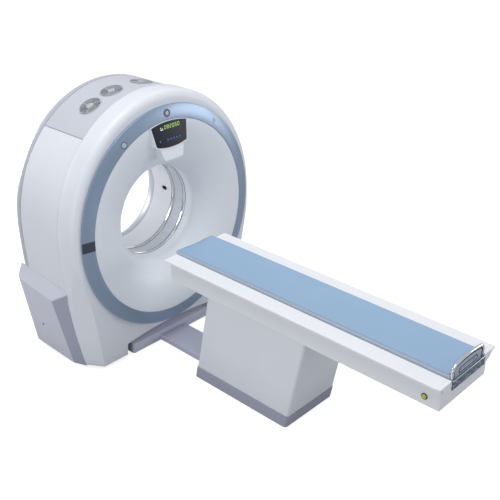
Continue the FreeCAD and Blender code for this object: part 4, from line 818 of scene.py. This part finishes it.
# %% Bore funnel
BORE_R = 0.350
FUNNEL_DEPTH = 0.195
BAND_FRONTS = (0.229, 0.357)
funnel_rows = [oval_row(0.004, RING_IN[0] - 0.0007, RING_IN[1] - 0.0007),
               oval_row(-0.0125, RING_IN[0] - 0.0010, RING_IN[1] - 0.0010),
               oval_row(-0.0160, RING_IN[0] - 0.0022, RING_IN[1] - 0.0022)]
FUNNEL_STEPS = 22
FUNNEL_WALL = 0.005
for step in range(1, FUNNEL_STEPS + 1):
    turn = math.pi / 2 * step / FUNNEL_STEPS
    y = RING_FRONT + FUNNEL_DEPTH * (1 - math.cos(turn))
    half_x = RING_IN[0] - (RING_IN[0] - BORE_R) * math.sin(turn)
    half_z = RING_IN[1] - (RING_IN[1] - BORE_R) * math.sin(turn)
    funnel_rows.append(oval_row(y, half_x, half_z))
funnel_rows.append(oval_row(BAND_FRONTS[0], BORE_R, BORE_R))
funnel = wrap(funnel_rows)
apply(funnel, "SOLIDIFY", thickness=FUNNEL_WALL, offset=-1, use_even_offset=True)
smooth(funnel, 50)
settle(funnel, "bore_funnel_shell", "funnel_grey", "gantry", "bore_funnel")
print("funnel:", len(funnel.data.polygons), "faces")

# %% [markdown]
# Behind the funnel come two bright metal rings with the scan window between them. These are turned
# parts: a short closed section is drawn beside an axis and spun once round it, and the last copy
# of the section is merged with the first.

# %% Turning
def outline(points, fill):
    """A circle primitive with its vertices laid on these points."""
    rest()
    bpy.ops.mesh.primitive_circle_add(vertices=len(points), radius=0.01, fill_type=fill)
    piece = bpy.context.object
    for vertex, point in zip(piece.data.vertices, points):
        vertex.co = point
    return piece


def spun(points, centre, axis, steps, merge):
    """Spin a closed section once round an axis."""
    piece = outline(points, "NOTHING")
    bpy.ops.object.mode_set(mode="EDIT")
    bpy.ops.mesh.select_all(action="SELECT")
    bpy.ops.mesh.spin(steps=steps, dupli=False, angle=math.tau, center=centre, axis=axis)
    bpy.ops.mesh.select_all(action="SELECT")
    bpy.ops.mesh.remove_doubles(threshold=merge)
    face_out()
    return piece


def turned(section, steps=144):
    """Spin a closed section of (y, radius) points once round the bore axis."""
    points = [(0, y, BORE_Z + radius) for y, radius in section]
    return spun(points, (0, 0, BORE_Z), (0, 1, 0), steps, 0.00002)


print("turning helpers ready")

# %% [markdown]
# The two metal rings have soft corners, so light runs round them as one bright line. The corners
# are part of the section, which costs less than a bevel on the finished ring.

# %% Metal rings
def rounded_band(y0, y1, r0, r1, soft):
    """A ring's section with its corners taken off."""
    points = []
    for cy, cr, start in ((y1 - soft, r1 - soft, 0), (y0 + soft, r1 - soft, 90),
                          (y0 + soft, r0 + soft, 180), (y1 - soft, r0 + soft, 270)):
        for step in range(4):
            turn = math.radians(start + 30 * step)
            points.append((cy + soft * math.cos(turn), cr + soft * math.sin(turn)))
    return points


BAND_WIDE = 0.026
bands = join(*(turned(rounded_band(y, y + BAND_WIDE, BORE_R - 0.002, BORE_R + 0.009, soft=0.010))
               for y in BAND_FRONTS))
smooth(bands, 50)
settle(bands, "window_bands", "bright_metal", "gantry", "window_rings")
print("metal rings:", len(bands.data.polygons), "faces")

# %% [markdown]
# A thin dark gasket seals each side of each metal ring, and the film lies between the rings.
# Without the gaskets the joints would be plain gaps that one can look through.

# %% Gaskets and film
GASKET_WIDE = 0.0030
GASKET_IN = BORE_R - 0.0010
GASKET_OUT = BORE_R + 0.0040
GASKET_PLACES = (0.2262, 0.2550, 0.3540, 0.3830)
gaskets = join(*(turned([(y, GASKET_IN), (y + GASKET_WIDE, GASKET_IN),
                         (y + GASKET_WIDE, GASKET_OUT), (y, GASKET_OUT)])
                 for y in GASKET_PLACES))
smooth(gaskets, 50)
settle(gaskets, "band_gaskets", "rubber_black:seam", "gantry")

film_ends = (BAND_FRONTS[0] + BAND_WIDE + 0.0005, BAND_FRONTS[1] - 0.0005)
film = turned([(film_ends[0], BORE_R), (film_ends[1], BORE_R),
               (film_ends[1], BORE_R + 0.003), (film_ends[0], BORE_R + 0.003)])
smooth(film, 30)
settle(film, "scan_film", "window_pale", "gantry", "scan_window")
print("gaskets and film:", len(gaskets.data.polygons), len(film.data.polygons), "faces")

# %% [markdown]
# The covers behind the seam, the boxes at the sides, the pedestal and the table keep the forms
# of the engineering model, so they are dressed copies. Only the width of the rounding differs:
# a large moulding has softer edges than a pressed panel.

# %% Dressed covers
# The rear cover's darker white is painted shade.
dressed("rear_cover", "cover_white:rear", 0.003)
# The top cover's greyer white is painted shade.
dressed("top_cover", "cover_white:top", 0.003)
dressed("side_cover_left", "cover_white", 0.003)
dressed("side_cover_right", "cover_white", 0.003)
dressed("rear_bore_liner", "bore_white", 0.0012)
dressed("fan_guards", "grille_grey", 0.0008, 2)
dressed("console_housing", "funnel_grey", 0.003, 4)
dressed("cross_foot", "foot_grey", 0.005, 4)
dressed("floor_duct", "foot_grey", 0.003)
dressed("pedestal_cover", "pedestal_white", 0.0015)
dressed("pedestal_skirt", "skirt_grey", 0.003)
dressed("tray", "tray_white", 0.002)
dressed("end_cap", "tray_white", 0.003)
dressed("end_panel", "panel_slate", 0.0015)
dressed("cradle", "cradle_grey", 0.0015)
dressed("cradle_handle", "bright_metal", 0.001)
dressed("stop_bezels", "black_plastic", 0.0012)
dressed("stop_button_left", "stop_yellow", 0.0008)
dressed("stop_button_right", "stop_yellow", 0.0008)
print("dressed copies ready")

# %% [markdown]
# Each side box is one moulding, and the faces of its front bevel, next to the cover, are a darker
# grey. The faces of the dressed copy that look forwards are parted from the rest and take the darker
# finish. A separate piece could be laid on instead, but its edge would stand proud.

# %% Side boxes
def parted(piece, name, finish, test, *replaced):
    """Part some faces of a finished piece into a piece of their own."""
    choose(piece, test, "FACE")
    bpy.ops.mesh.separate(type="SELECTED")
    done()
    other = [found for found in bpy.context.selected_objects if found != piece][0]
    return settle(other, name, finish, "gantry", *replaced)


# Each box's body takes a darker copy of the cover's white: painted shade.
for side in ("left", "right"):
    box_piece = dressed("side_box_" + side, "cover_white:box", 0.006, 4)
    parted(box_piece, "box_bevel_" + side, "skirt_grey:bevel",
           lambda centre, normal: normal.y < -0.3 and abs(normal.z) < 0.5 and centre.y < 0.32,
           "side_box_" + side)
print("side boxes and bevel plates ready")

# %% [markdown]
# Locks, the badge's rim and the round marks are all small turned things that lie on a surface. Each
# is spun upright and then stood on it. For the locks and the marks the closest point of the surface
# gives both the place and the direction, so nothing floats or sinks in.

# %% Small round things
def lathe(section, centre, facing, steps=32):
    """Spin (height, radius) points once round an axis, then stand that axis along facing."""
    points = [(radius, 0, height) for height, radius in section]
    piece = spun(points, (0, 0, 0), (0, 0, 1), steps, 0.00001)
    stand = Vector(facing).to_track_quat("Z", "Y").to_matrix().to_4x4()
    piece.data.transform(Matrix.Translation(centre) @ stand)
    smooth(piece, 40)
    return piece


def domed(radius, height, soft):
    """A flat button's section from its axis out and down, closed underneath."""
    points = [(height, 0.0), (height, radius - soft)]
    for step in range(1, 5):
        turn = math.pi / 2 * step / 4
        points.append((height - soft * (1 - math.cos(turn)), radius - soft * (1 - math.sin(turn))))
    return points + [(-0.002, radius), (-0.002, 0.0)]


def hoop(inner, outer, height, soft=0.0006):
    """A flat ring's section with its upper corners taken off."""
    return [(-0.001, inner), (height - soft, inner), (height, inner + soft),
            (height, outer - soft), (height - soft, outer), (-0.001, outer)]


def surface_spot(mesh, near):
    """The closest point of a mesh's surface and the way that surface faces."""
    tree = BVHTree.FromPolygons([vertex.co for vertex in mesh.vertices],
                                [list(face.vertices) for face in mesh.polygons])
    return tree.find_nearest(Vector(near))[:2]


print("points in a button's section:", len(domed(0.01, 0.001, 0.0005)))

# %% [markdown]
# A flush lock sits on each side box's outer face: a flat button inside a thin ring.

# %% Side boxes' locks
LOCK_Y = 0.571
LOCK_Z = 0.223
LOCK_R = 0.0065
for side, sign in (("left", -1), ("right", 1)):
    place, facing = surface_spot(NODES["side_box_" + side].data, (sign * 0.95, LOCK_Y, LOCK_Z))
    lock = join(lathe(domed(LOCK_R, 0.0010, 0.0006), place, facing),
                lathe(hoop(LOCK_R + 0.001, LOCK_R + 0.003, 0.0008), place, facing))
    settle(lock, "box_lock_" + side, "dark_plate", "gantry")
print("locks ready")

# %% [markdown]
# The seams between the covers are open joints. A soft strip closes each from behind, a little
# under the surface, so the joint reads as a line and not as a crack. The one behind the front
# cover follows the cover's own rows; the two beside the top cover are narrow straight sheets.

# %% Seam strips
SEAM_REAR = 0.632
JOINT_TURN = 48.5
STRIP_STEPS = 24


def seam_bead():
    """The bead behind the front cover's edge: a closed section carried round the outline."""
    section = [(0.1838, 0.0070), (0.1838, 0.0016), (0.1850, 0.0008), (0.1870, 0.0008),
               (0.1880, 0.0018), (0.1880, 0.0070), (0.1838, 0.0070)]
    bead = wrap([outline_row(y, inset) for y, inset in section])
    cut_below(bead, COVER_BOTTOM + 0.004)
    outwards(bead)
    smooth(bead, 50)
    return bead


def joint_strip(side):
    """The strip under the joint between the top cover and a side cover, front to back."""
    turn = math.radians(JOINT_TURN)
    half = HALF_WIDTH - 0.005
    rise = CROWN - 0.015
    middle = Vector((half * math.cos(turn), 0, BORE_Z + rise * math.sin(turn)))
    along = Vector((-half * math.sin(turn), 0, rise * math.cos(turn))).normalized()
    outward = Vector((along.z, 0, -along.x))
    first = SEAM_FRONT + 0.003
    length = SEAM_REAR - SEAM_FRONT - 0.006

    def strip_point(column, row):
        sunk = 0.0005 if column == 1 else 0.0009
        place = middle + along * ((column - 1) * 0.0020) - outward * sunk
        return side * place.x, first + row / STRIP_STEPS * length, place.z

    piece = sheet(2, STRIP_STEPS, strip_point)
    apply(piece, "SOLIDIFY", thickness=0.0015, offset=-side, use_even_offset=True)
    return piece


bead = seam_bead()
settle(bead, "seam_strips", "rubber_black:seam", "gantry")
joints = join(joint_strip(1), joint_strip(-1))
settle(joints, "joint_strips", "rubber_black:joint", "gantry")
print("seam strips:", len(bead.data.polygons) + len(joints.data.polygons), "faces")

# %% [markdown]
# The console carries a dark glass with a green number, a small sign and a row of keys. The number
# and the sign are drawn upright, where their places are plain numbers, and then leaned back with
# the panel about the ring's inner edge.

# %% Console's slope and thin plates
LEAN = math.atan2(-RING_FRONT, RING_OUT[1] - RING_IN[1])
HINGE = Vector((0, RING_FRONT, BORE_Z + RING_IN[1]))
PANEL_FACE = -0.021


def lean_back(piece):
    """Turn an upright piece onto the console's slope."""
    turn = Matrix.Rotation(-LEAN, 4, "X")
    piece.data.transform(Matrix.Translation(HINGE) @ turn @ Matrix.Translation(-HINGE))
    return piece


def plate(points, depth=0.0005, y=PANEL_FACE):
    """A thin plate with this (x, z) outline, its front at y - depth."""
    piece = outline([(x, y + 0.0003, z) for x, z in points], "NGON")
    extrude(piece, -depth - 0.0003)
    return piece


print("the console leans back by", round(math.degrees(LEAN), 1), "degrees")

# %% [markdown]
# The number is made of lit bars, as on any such display. A text object would give round digits;
# here every bar of a digit is the same six-sided plate, made by one function and slanted a little.

# %% Number
DIGIT_WIDE = 0.0140
DIGIT_HIGH = 0.0225
DIGIT_PITCH = 0.0238
BAR = 0.0033
NUMBER = "082050"
NUMBER_LEFT = -0.037
NUMBER_Z = 1.717
SLANT = 0.09
POINT = [(0.0456, 1.7050), (0.0488, 1.7050), (0.0488, 1.7080), (0.0456, 1.7080)]
BARS = {"0": "abcdef", "2": "abged", "5": "afgcd", "8": "abcdefg"}
BAR_PLACES = {"a": (0, 1, 0), "g": (0, 0, 0), "d": (0, -1, 0), "f": (-1, 0.5, 1),
              "b": (1, 0.5, 1), "e": (-1, -0.5, 1), "c": (1, -0.5, 1)}


def bar(x, z, upright):
    """One six-sided bar of a digit."""
    half = (DIGIT_HIGH / 2 if upright else DIGIT_WIDE) / 2 - 0.0004
    tip = BAR / 2
    points = [(-half, 0), (-half + tip, -tip), (half - tip, -tip), (half, 0),
              (half - tip, tip), (-half + tip, tip)]
    if upright:
        points = [(-b, a) for a, b in points]
    return plate([(x + a + SLANT * b, z + b) for a, b in points])


digits = []
for place, digit in enumerate(NUMBER):
    middle = NUMBER_LEFT + place * DIGIT_PITCH
    for letter in BARS[digit]:
        across, level_up, upright = BAR_PLACES[letter]
        rise = level_up * DIGIT_HIGH / 2
        digits.append(bar(middle + across * DIGIT_WIDE / 2 + SLANT * rise, NUMBER_Z + rise, upright))
digits.append(plate(POINT))
number = lean_back(join(*digits))
settle(number, "display_number", "digit_green", "gantry")
print("number:", NUMBER, "in", len(digits), "plates")

# %% [markdown]
# Beside the number is a small plain sign: a flat bar with two short posts over it. The glass is the
# dressed solid, with the plates standing just proud of it, and the six keys below keep their own
# bodies.

# %% Sign, glass and keys
SIGN = [[(-0.080, 1.7020), (-0.058, 1.7020), (-0.056, 1.7045), (-0.058, 1.7070),
         (-0.080, 1.7070), (-0.082, 1.7045)],
        [(-0.079, 1.7115), (-0.075, 1.7115), (-0.075, 1.7220), (-0.079, 1.7220)],
        [(-0.066, 1.7115), (-0.062, 1.7115), (-0.062, 1.7180), (-0.066, 1.7180)]]
table_sign = lean_back(join(*(plate(points) for points in SIGN)))
settle(table_sign, "display_sign", "sign_white", "gantry")

dressed("console_display", "display_dark", 0.0006, 2)
for key in range(1, 7):
    dressed("console_key_%d" % key, "key_blue", 0.0006, 3)
print("sign of", len(SIGN), "plates, glass and six keys ready")

# %% [markdown]
# On the ring sit a bare round badge with a dark rim, two small round marks and a dark bare plate.
# The marks are outlined discs about half a millimetre proud, as something stuck on would be. They
# could be painted on with a mask in the ring's material, but then they would have no edge.

# %% Badge, marks and plate on the ring
badge_low, badge_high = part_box("ring_badge")
badge_middle = (Vector(badge_low) + Vector(badge_high)) / 2
slope = Vector((0, -math.cos(LEAN), math.sin(LEAN)))
dressed("ring_badge", "plate_pale", 0.0012)
badge_front = badge_middle + slope * 0.0016
rim = lathe(hoop(inner=0.0160, outer=0.0268, height=0.0020, soft=0.0009), badge_front, slope, 48)
settle(rim, "badge_rim", "dark_plate", "gantry")

for name, x, z, outer in (("left", -0.385, 1.679, 0.024), ("right", 0.445, 1.657, 0.014)):
    place, facing = surface_spot(ring.data, (x, -0.05, z))
    mark = lathe(hoop(outer * 0.80, outer, 0.0006, 0.0003), place, facing, 40)
    settle(mark, "ring_mark_" + name, "dark_plate" if name == "left" else "badge_grey", "gantry")
    disc = lathe(domed(outer * 0.80, 0.0004, 0.0002), place, facing, 40)
    settle(disc, "ring_mark_disc_" + name, "plate_pale", "gantry")

name_plate = copied("ring_plate")
for vertex in name_plate.data.vertices:
    vertex.co.y -= 0.0008
round_edges(name_plate, 0.0008, 2)
smooth(name_plate, 35)
settle(name_plate, "name_plate", "dark_plate", "gantry", "ring_plate")
print("badge, marks and name plate ready")

# %% [markdown]
# The handle is a bright arch; the plate inside it is painted pale, with a rubber lip round its
# edge and round the hand slot. Both lips are rows of points too: one row on the outline, one
# drawn in, and the band between them gets a thickness. A bevelled curve would be round where the
# real lip is flat.

# %% Handle plate's rows
HANDLE_Y = -2.415
BLOCK_TOP = 0.878
PLATE_FRONT = HANDLE_Y - 0.003
HANDLE_HALF = 0.161
HANDLE_HIGH = 0.096
HANDLE_RISE = 0.020
HANDLE_BEND = 0.042


def arch_row(inset, steps=14):
    """Points along the handle's arch, drawn in by this much, from one foot to the other."""
    arch = (HANDLE_HALF ** 2 + HANDLE_RISE ** 2) / (2 * HANDLE_RISE)
    arch_z = BLOCK_TOP + HANDLE_HIGH - arch
    bend_x = HANDLE_HALF - HANDLE_BEND
    bend_z = arch_z + math.sqrt((arch - HANDLE_BEND) ** 2 - bend_x ** 2)
    meet = math.atan2(bend_x, bend_z - arch_z)
    half = []
    for step in range(steps):
        turn = meet * step / steps
        half.append(((arch - inset) * math.sin(turn), arch_z + (arch - inset) * math.cos(turn)))
    for step in range(steps + 1):
        turn = meet + (math.pi / 2 - meet) * step / steps
        half.append((bend_x + (HANDLE_BEND - inset) * math.sin(turn),
                     bend_z + (HANDLE_BEND - inset) * math.cos(turn)))
    half.append((HANDLE_HALF - inset, BLOCK_TOP))
    return [(-x, z) for x, z in reversed(half[1:])] + half


def slot_row(half, high, middle=BLOCK_TOP + 0.030, steps=12):
    """Once round the hand slot: a half circle at each end."""
    straight = half - high / 2
    points = []
    for sign in (1, -1):
        for step in range(steps + 1):
            turn = math.pi / 2 * (sign - 2 * step / steps)
            points.append((sign * straight + high / 2 * math.cos(turn),
                           middle + high / 2 * math.sin(turn)))
    return points + points[:1]


print("points along the handle's arch:", len(arch_row(0)))

# %% [markdown]
# The plate itself keeps the solid's form. Its two lips stand about a millimetre proud, and the one
# round the hand slot is closed, so its row ends where it began.

# %% Handle plate and its lips
def lip(outer, inner, front, thick):
    """A band between two rows of (x, z) points with its edges softened."""
    band = wrap([[Vector((x, front, z)) for x, z in row] for row in (outer, inner)])
    extrude(band, -thick)
    round_edges(band, 0.0005, 2)
    smooth(band, 40)
    return band


dressed("handle_plate", "plate_pale", 0.0008)
outer_lip = lip(arch_row(0.0085), arch_row(0.0185), PLATE_FRONT + 0.0005, 0.0016)
slot_lip = lip(slot_row(0.0995, 0.037), slot_row(0.0945, 0.027), PLATE_FRONT + 0.0005, 0.0014)
settle(join(outer_lip, slot_lip), "handle_lips", "rubber_black", "cradle")
print("handle plate and lips ready")

# %% [markdown]
# A half-round bright trim closes the top of the end panel. It is a narrow sheet bent over in three
# steps, thin enough that a wall of its own is all it needs.

# %% Panel's trim
PANEL_HALF = 0.170
TRIM_Y = -2.4318
TRIM_Z = 0.8800
TRIM_STEPS = 16
TRIM_ROWS = 3


def trim_point(column, row):
    turn = math.pi * row / TRIM_ROWS
    return (PANEL_HALF * (2 * column / TRIM_STEPS - 1), TRIM_Y - 0.0016 * math.sin(turn),
            TRIM_Z + 0.0022 * math.cos(turn))


trim = sheet(TRIM_STEPS, TRIM_ROWS, trim_point)
apply(trim, "SOLIDIFY", thickness=0.0006, offset=0, use_even_offset=True)
smooth(trim, 60)
settle(trim, "panel_trim", "bright_metal", body_of("end_panel"))
print("trim:", len(trim.data.polygons), "faces")

# %% [markdown]
# Three fans turn under the guards on the roof. Each rotor is a softened copy of its solid and
# rides on its own body, so it still spins.

# %% Fan rotors
for node_name in NODES:
    if node_name.startswith("fan_rotor"):
        dressed(node_name, "fan_black", 0.0006, 2)
print("fan rotors ready")

# %% [markdown]
# The pad is a foam core in a welded coated cover. It starts as a slim closed form that follows
# the cradle's hollow. The underside and a welded line just inside the edge are pinned, the cover
# between them is cloth blown up a little from inside, and the movement is capped, so the top
# crowns softly and pulls in along the weld.

# %% Pad
CRADLE_HALF = 0.170
CRADLE_EDGE = 0.906
CRADLE_SAG = 0.016
PAD_HALF = 0.1655
PAD_HEAD = -0.2425
PAD_FOOT = -2.3995
PAD_CAP = 0.0035
PAD_ACROSS = 26
PAD_ALONG = 156
hollow = (CRADLE_HALF ** 2 + CRADLE_SAG ** 2) / (2 * CRADLE_SAG)


def cradle_top(x):
    return CRADLE_EDGE - CRADLE_SAG + hollow - math.sqrt(hollow ** 2 - x ** 2)


def spaced(count, half, edges):
    """Places across, with extra ones close to both edges."""
    inner = count - 2 * len(edges)
    reach = half - edges[-1]
    places = [-half + edge for edge in edges]
    places += [-reach + 2 * reach * i / inner for i in range(1, inner)]
    return places + [half - edge for edge in reversed(edges)]


PAD_EDGES = (0.0, 0.004, 0.010)
across = spaced(PAD_ACROSS, PAD_HALF, PAD_EDGES)
middle_y = (PAD_HEAD + PAD_FOOT) / 2
along = [middle_y + place for place in spaced(PAD_ALONG, (PAD_HEAD - PAD_FOOT) / 2, PAD_EDGES)]


def pad_row(y, end):
    """Once round the pad's section: along the underside and back over the top."""
    under, over = [], []
    for x in across:
        edge = min(PAD_HALF - abs(x), end)
        thick = 0.0052 if edge > 0.009 else (0.0048 if edge > 0.003 else 0.0042)
        low = 0.0004 + (0.0008 if edge < 0.003 else 0.0)
        under.append(Vector((x, y, cradle_top(x) + low)))
        over.append(Vector((x, y, cradle_top(x) + low + thick)))
    return under + list(reversed(over))


pad_rows = [pad_row(y, min(PAD_HEAD - y, y - PAD_FOOT)) for y in along]
pad = wrap([row + row[:1] for row in pad_rows])
for end_y in (PAD_HEAD, PAD_FOOT):
    choose(pad, lambda co: abs(co.y - end_y) < 1e-5)
    bpy.ops.mesh.select_mode(type="EDGE")
    bpy.ops.mesh.region_to_loop()
    bpy.ops.mesh.edge_face_add()
    done()
outwards(pad)
print("pad:", len(pad.data.polygons), "faces before the cloth")

# %% [markdown]
# The cloth runs on the pad alone, with gravity off, for twenty frames. Its result is not taken
# as it comes: each point keeps its direction, and its distance is eased towards the cap, so the
# crown is even from end to end. One subdivision then rounds the sides.

# %% Pad's cloth and cover
WELD = 0.0115
CLOTH_FRAMES = 20
before = [vertex.co.copy() for vertex in pad.data.vertices]
held_points = pad.vertex_groups.new(name="held")
for vertex in pad.data.vertices:
    edge = min(PAD_HALF - abs(vertex.co.x), PAD_HEAD - vertex.co.y, vertex.co.y - PAD_FOOT)
    under = vertex.co.z < cradle_top(vertex.co.x) + 0.0025
    if under or edge < WELD:
        held_points.add([vertex.index], 1.0, "REPLACE")

hold(pad)
blown = pad.modifiers.new("blown", "CLOTH")
cloth = blown.settings
cloth.vertex_group_mass = "held"
cloth.quality = 6
cloth.mass = 0.3
cloth.tension_stiffness = 20
cloth.compression_stiffness = 20
cloth.shear_stiffness = 8
cloth.bending_stiffness = 2
cloth.use_pressure = True
cloth.uniform_pressure_force = 0.7
cloth.effector_weights.gravity = 0
blown.collision_settings.use_collision = False
blown.point_cache.frame_start = 1
blown.point_cache.frame_end = CLOTH_FRAMES
for frame_number in range(1, CLOTH_FRAMES + 1):
    scene.frame_set(frame_number)
bpy.ops.object.modifier_apply(modifier="blown")
scene.frame_set(1)
farthest = 0.0
for vertex, start in zip(pad.data.vertices, before):
    moved = vertex.co - start
    farthest = max(farthest, moved.length)
    if moved.length > 1e-7:
        eased = PAD_CAP * (1 - math.exp(-moved.length / PAD_CAP))
        vertex.co = start + moved.normalized() * eased
print("cloth moved at most", round(farthest * 1000, 2), "mm before the cap")

apply(pad, "SUBSURF", levels=1, render_levels=1)
smooth(pad, 60)
settle(pad, "pad_cover", "pad_blue", body_of("cradle_pad"), "cradle_pad")
print("pad:", len(pad.data.polygons), "faces")

# %% [markdown]
# The floor is grey, and to the camera alone it also glows, so it comes out white. The machine
# stands on a clean ground with a faint contact shadow and gets ordinary light from below.

# %% Floor
rest()
bpy.ops.mesh.primitive_plane_add(size=60, location=(0, 0, 0))
floor = bpy.context.object
floor.name = "studio_floor"
ground = Finish("floor_white", (0.45, 0.455, 0.465), 0.9)
lit = ground.node("ShaderNodeEmission", {}, {"Color": (1, 1, 1), "Strength": 0.80})
path = ground.node("ShaderNodeLightPath", out="Is Camera Ray")
grey = Value(ground, ground.shader.outputs[0])
both = ground.node("ShaderNodeAddShader", {}, {0: grey, 1: lit})
pick = ground.node("ShaderNodeMixShader", {}, {0: path, 1: grey, 2: both})
ground.tree.links.new(pick.socket, ground.tree.nodes["Material Output"].inputs["Surface"])
floor.data.materials.append(ground.material)
print("floor laid")
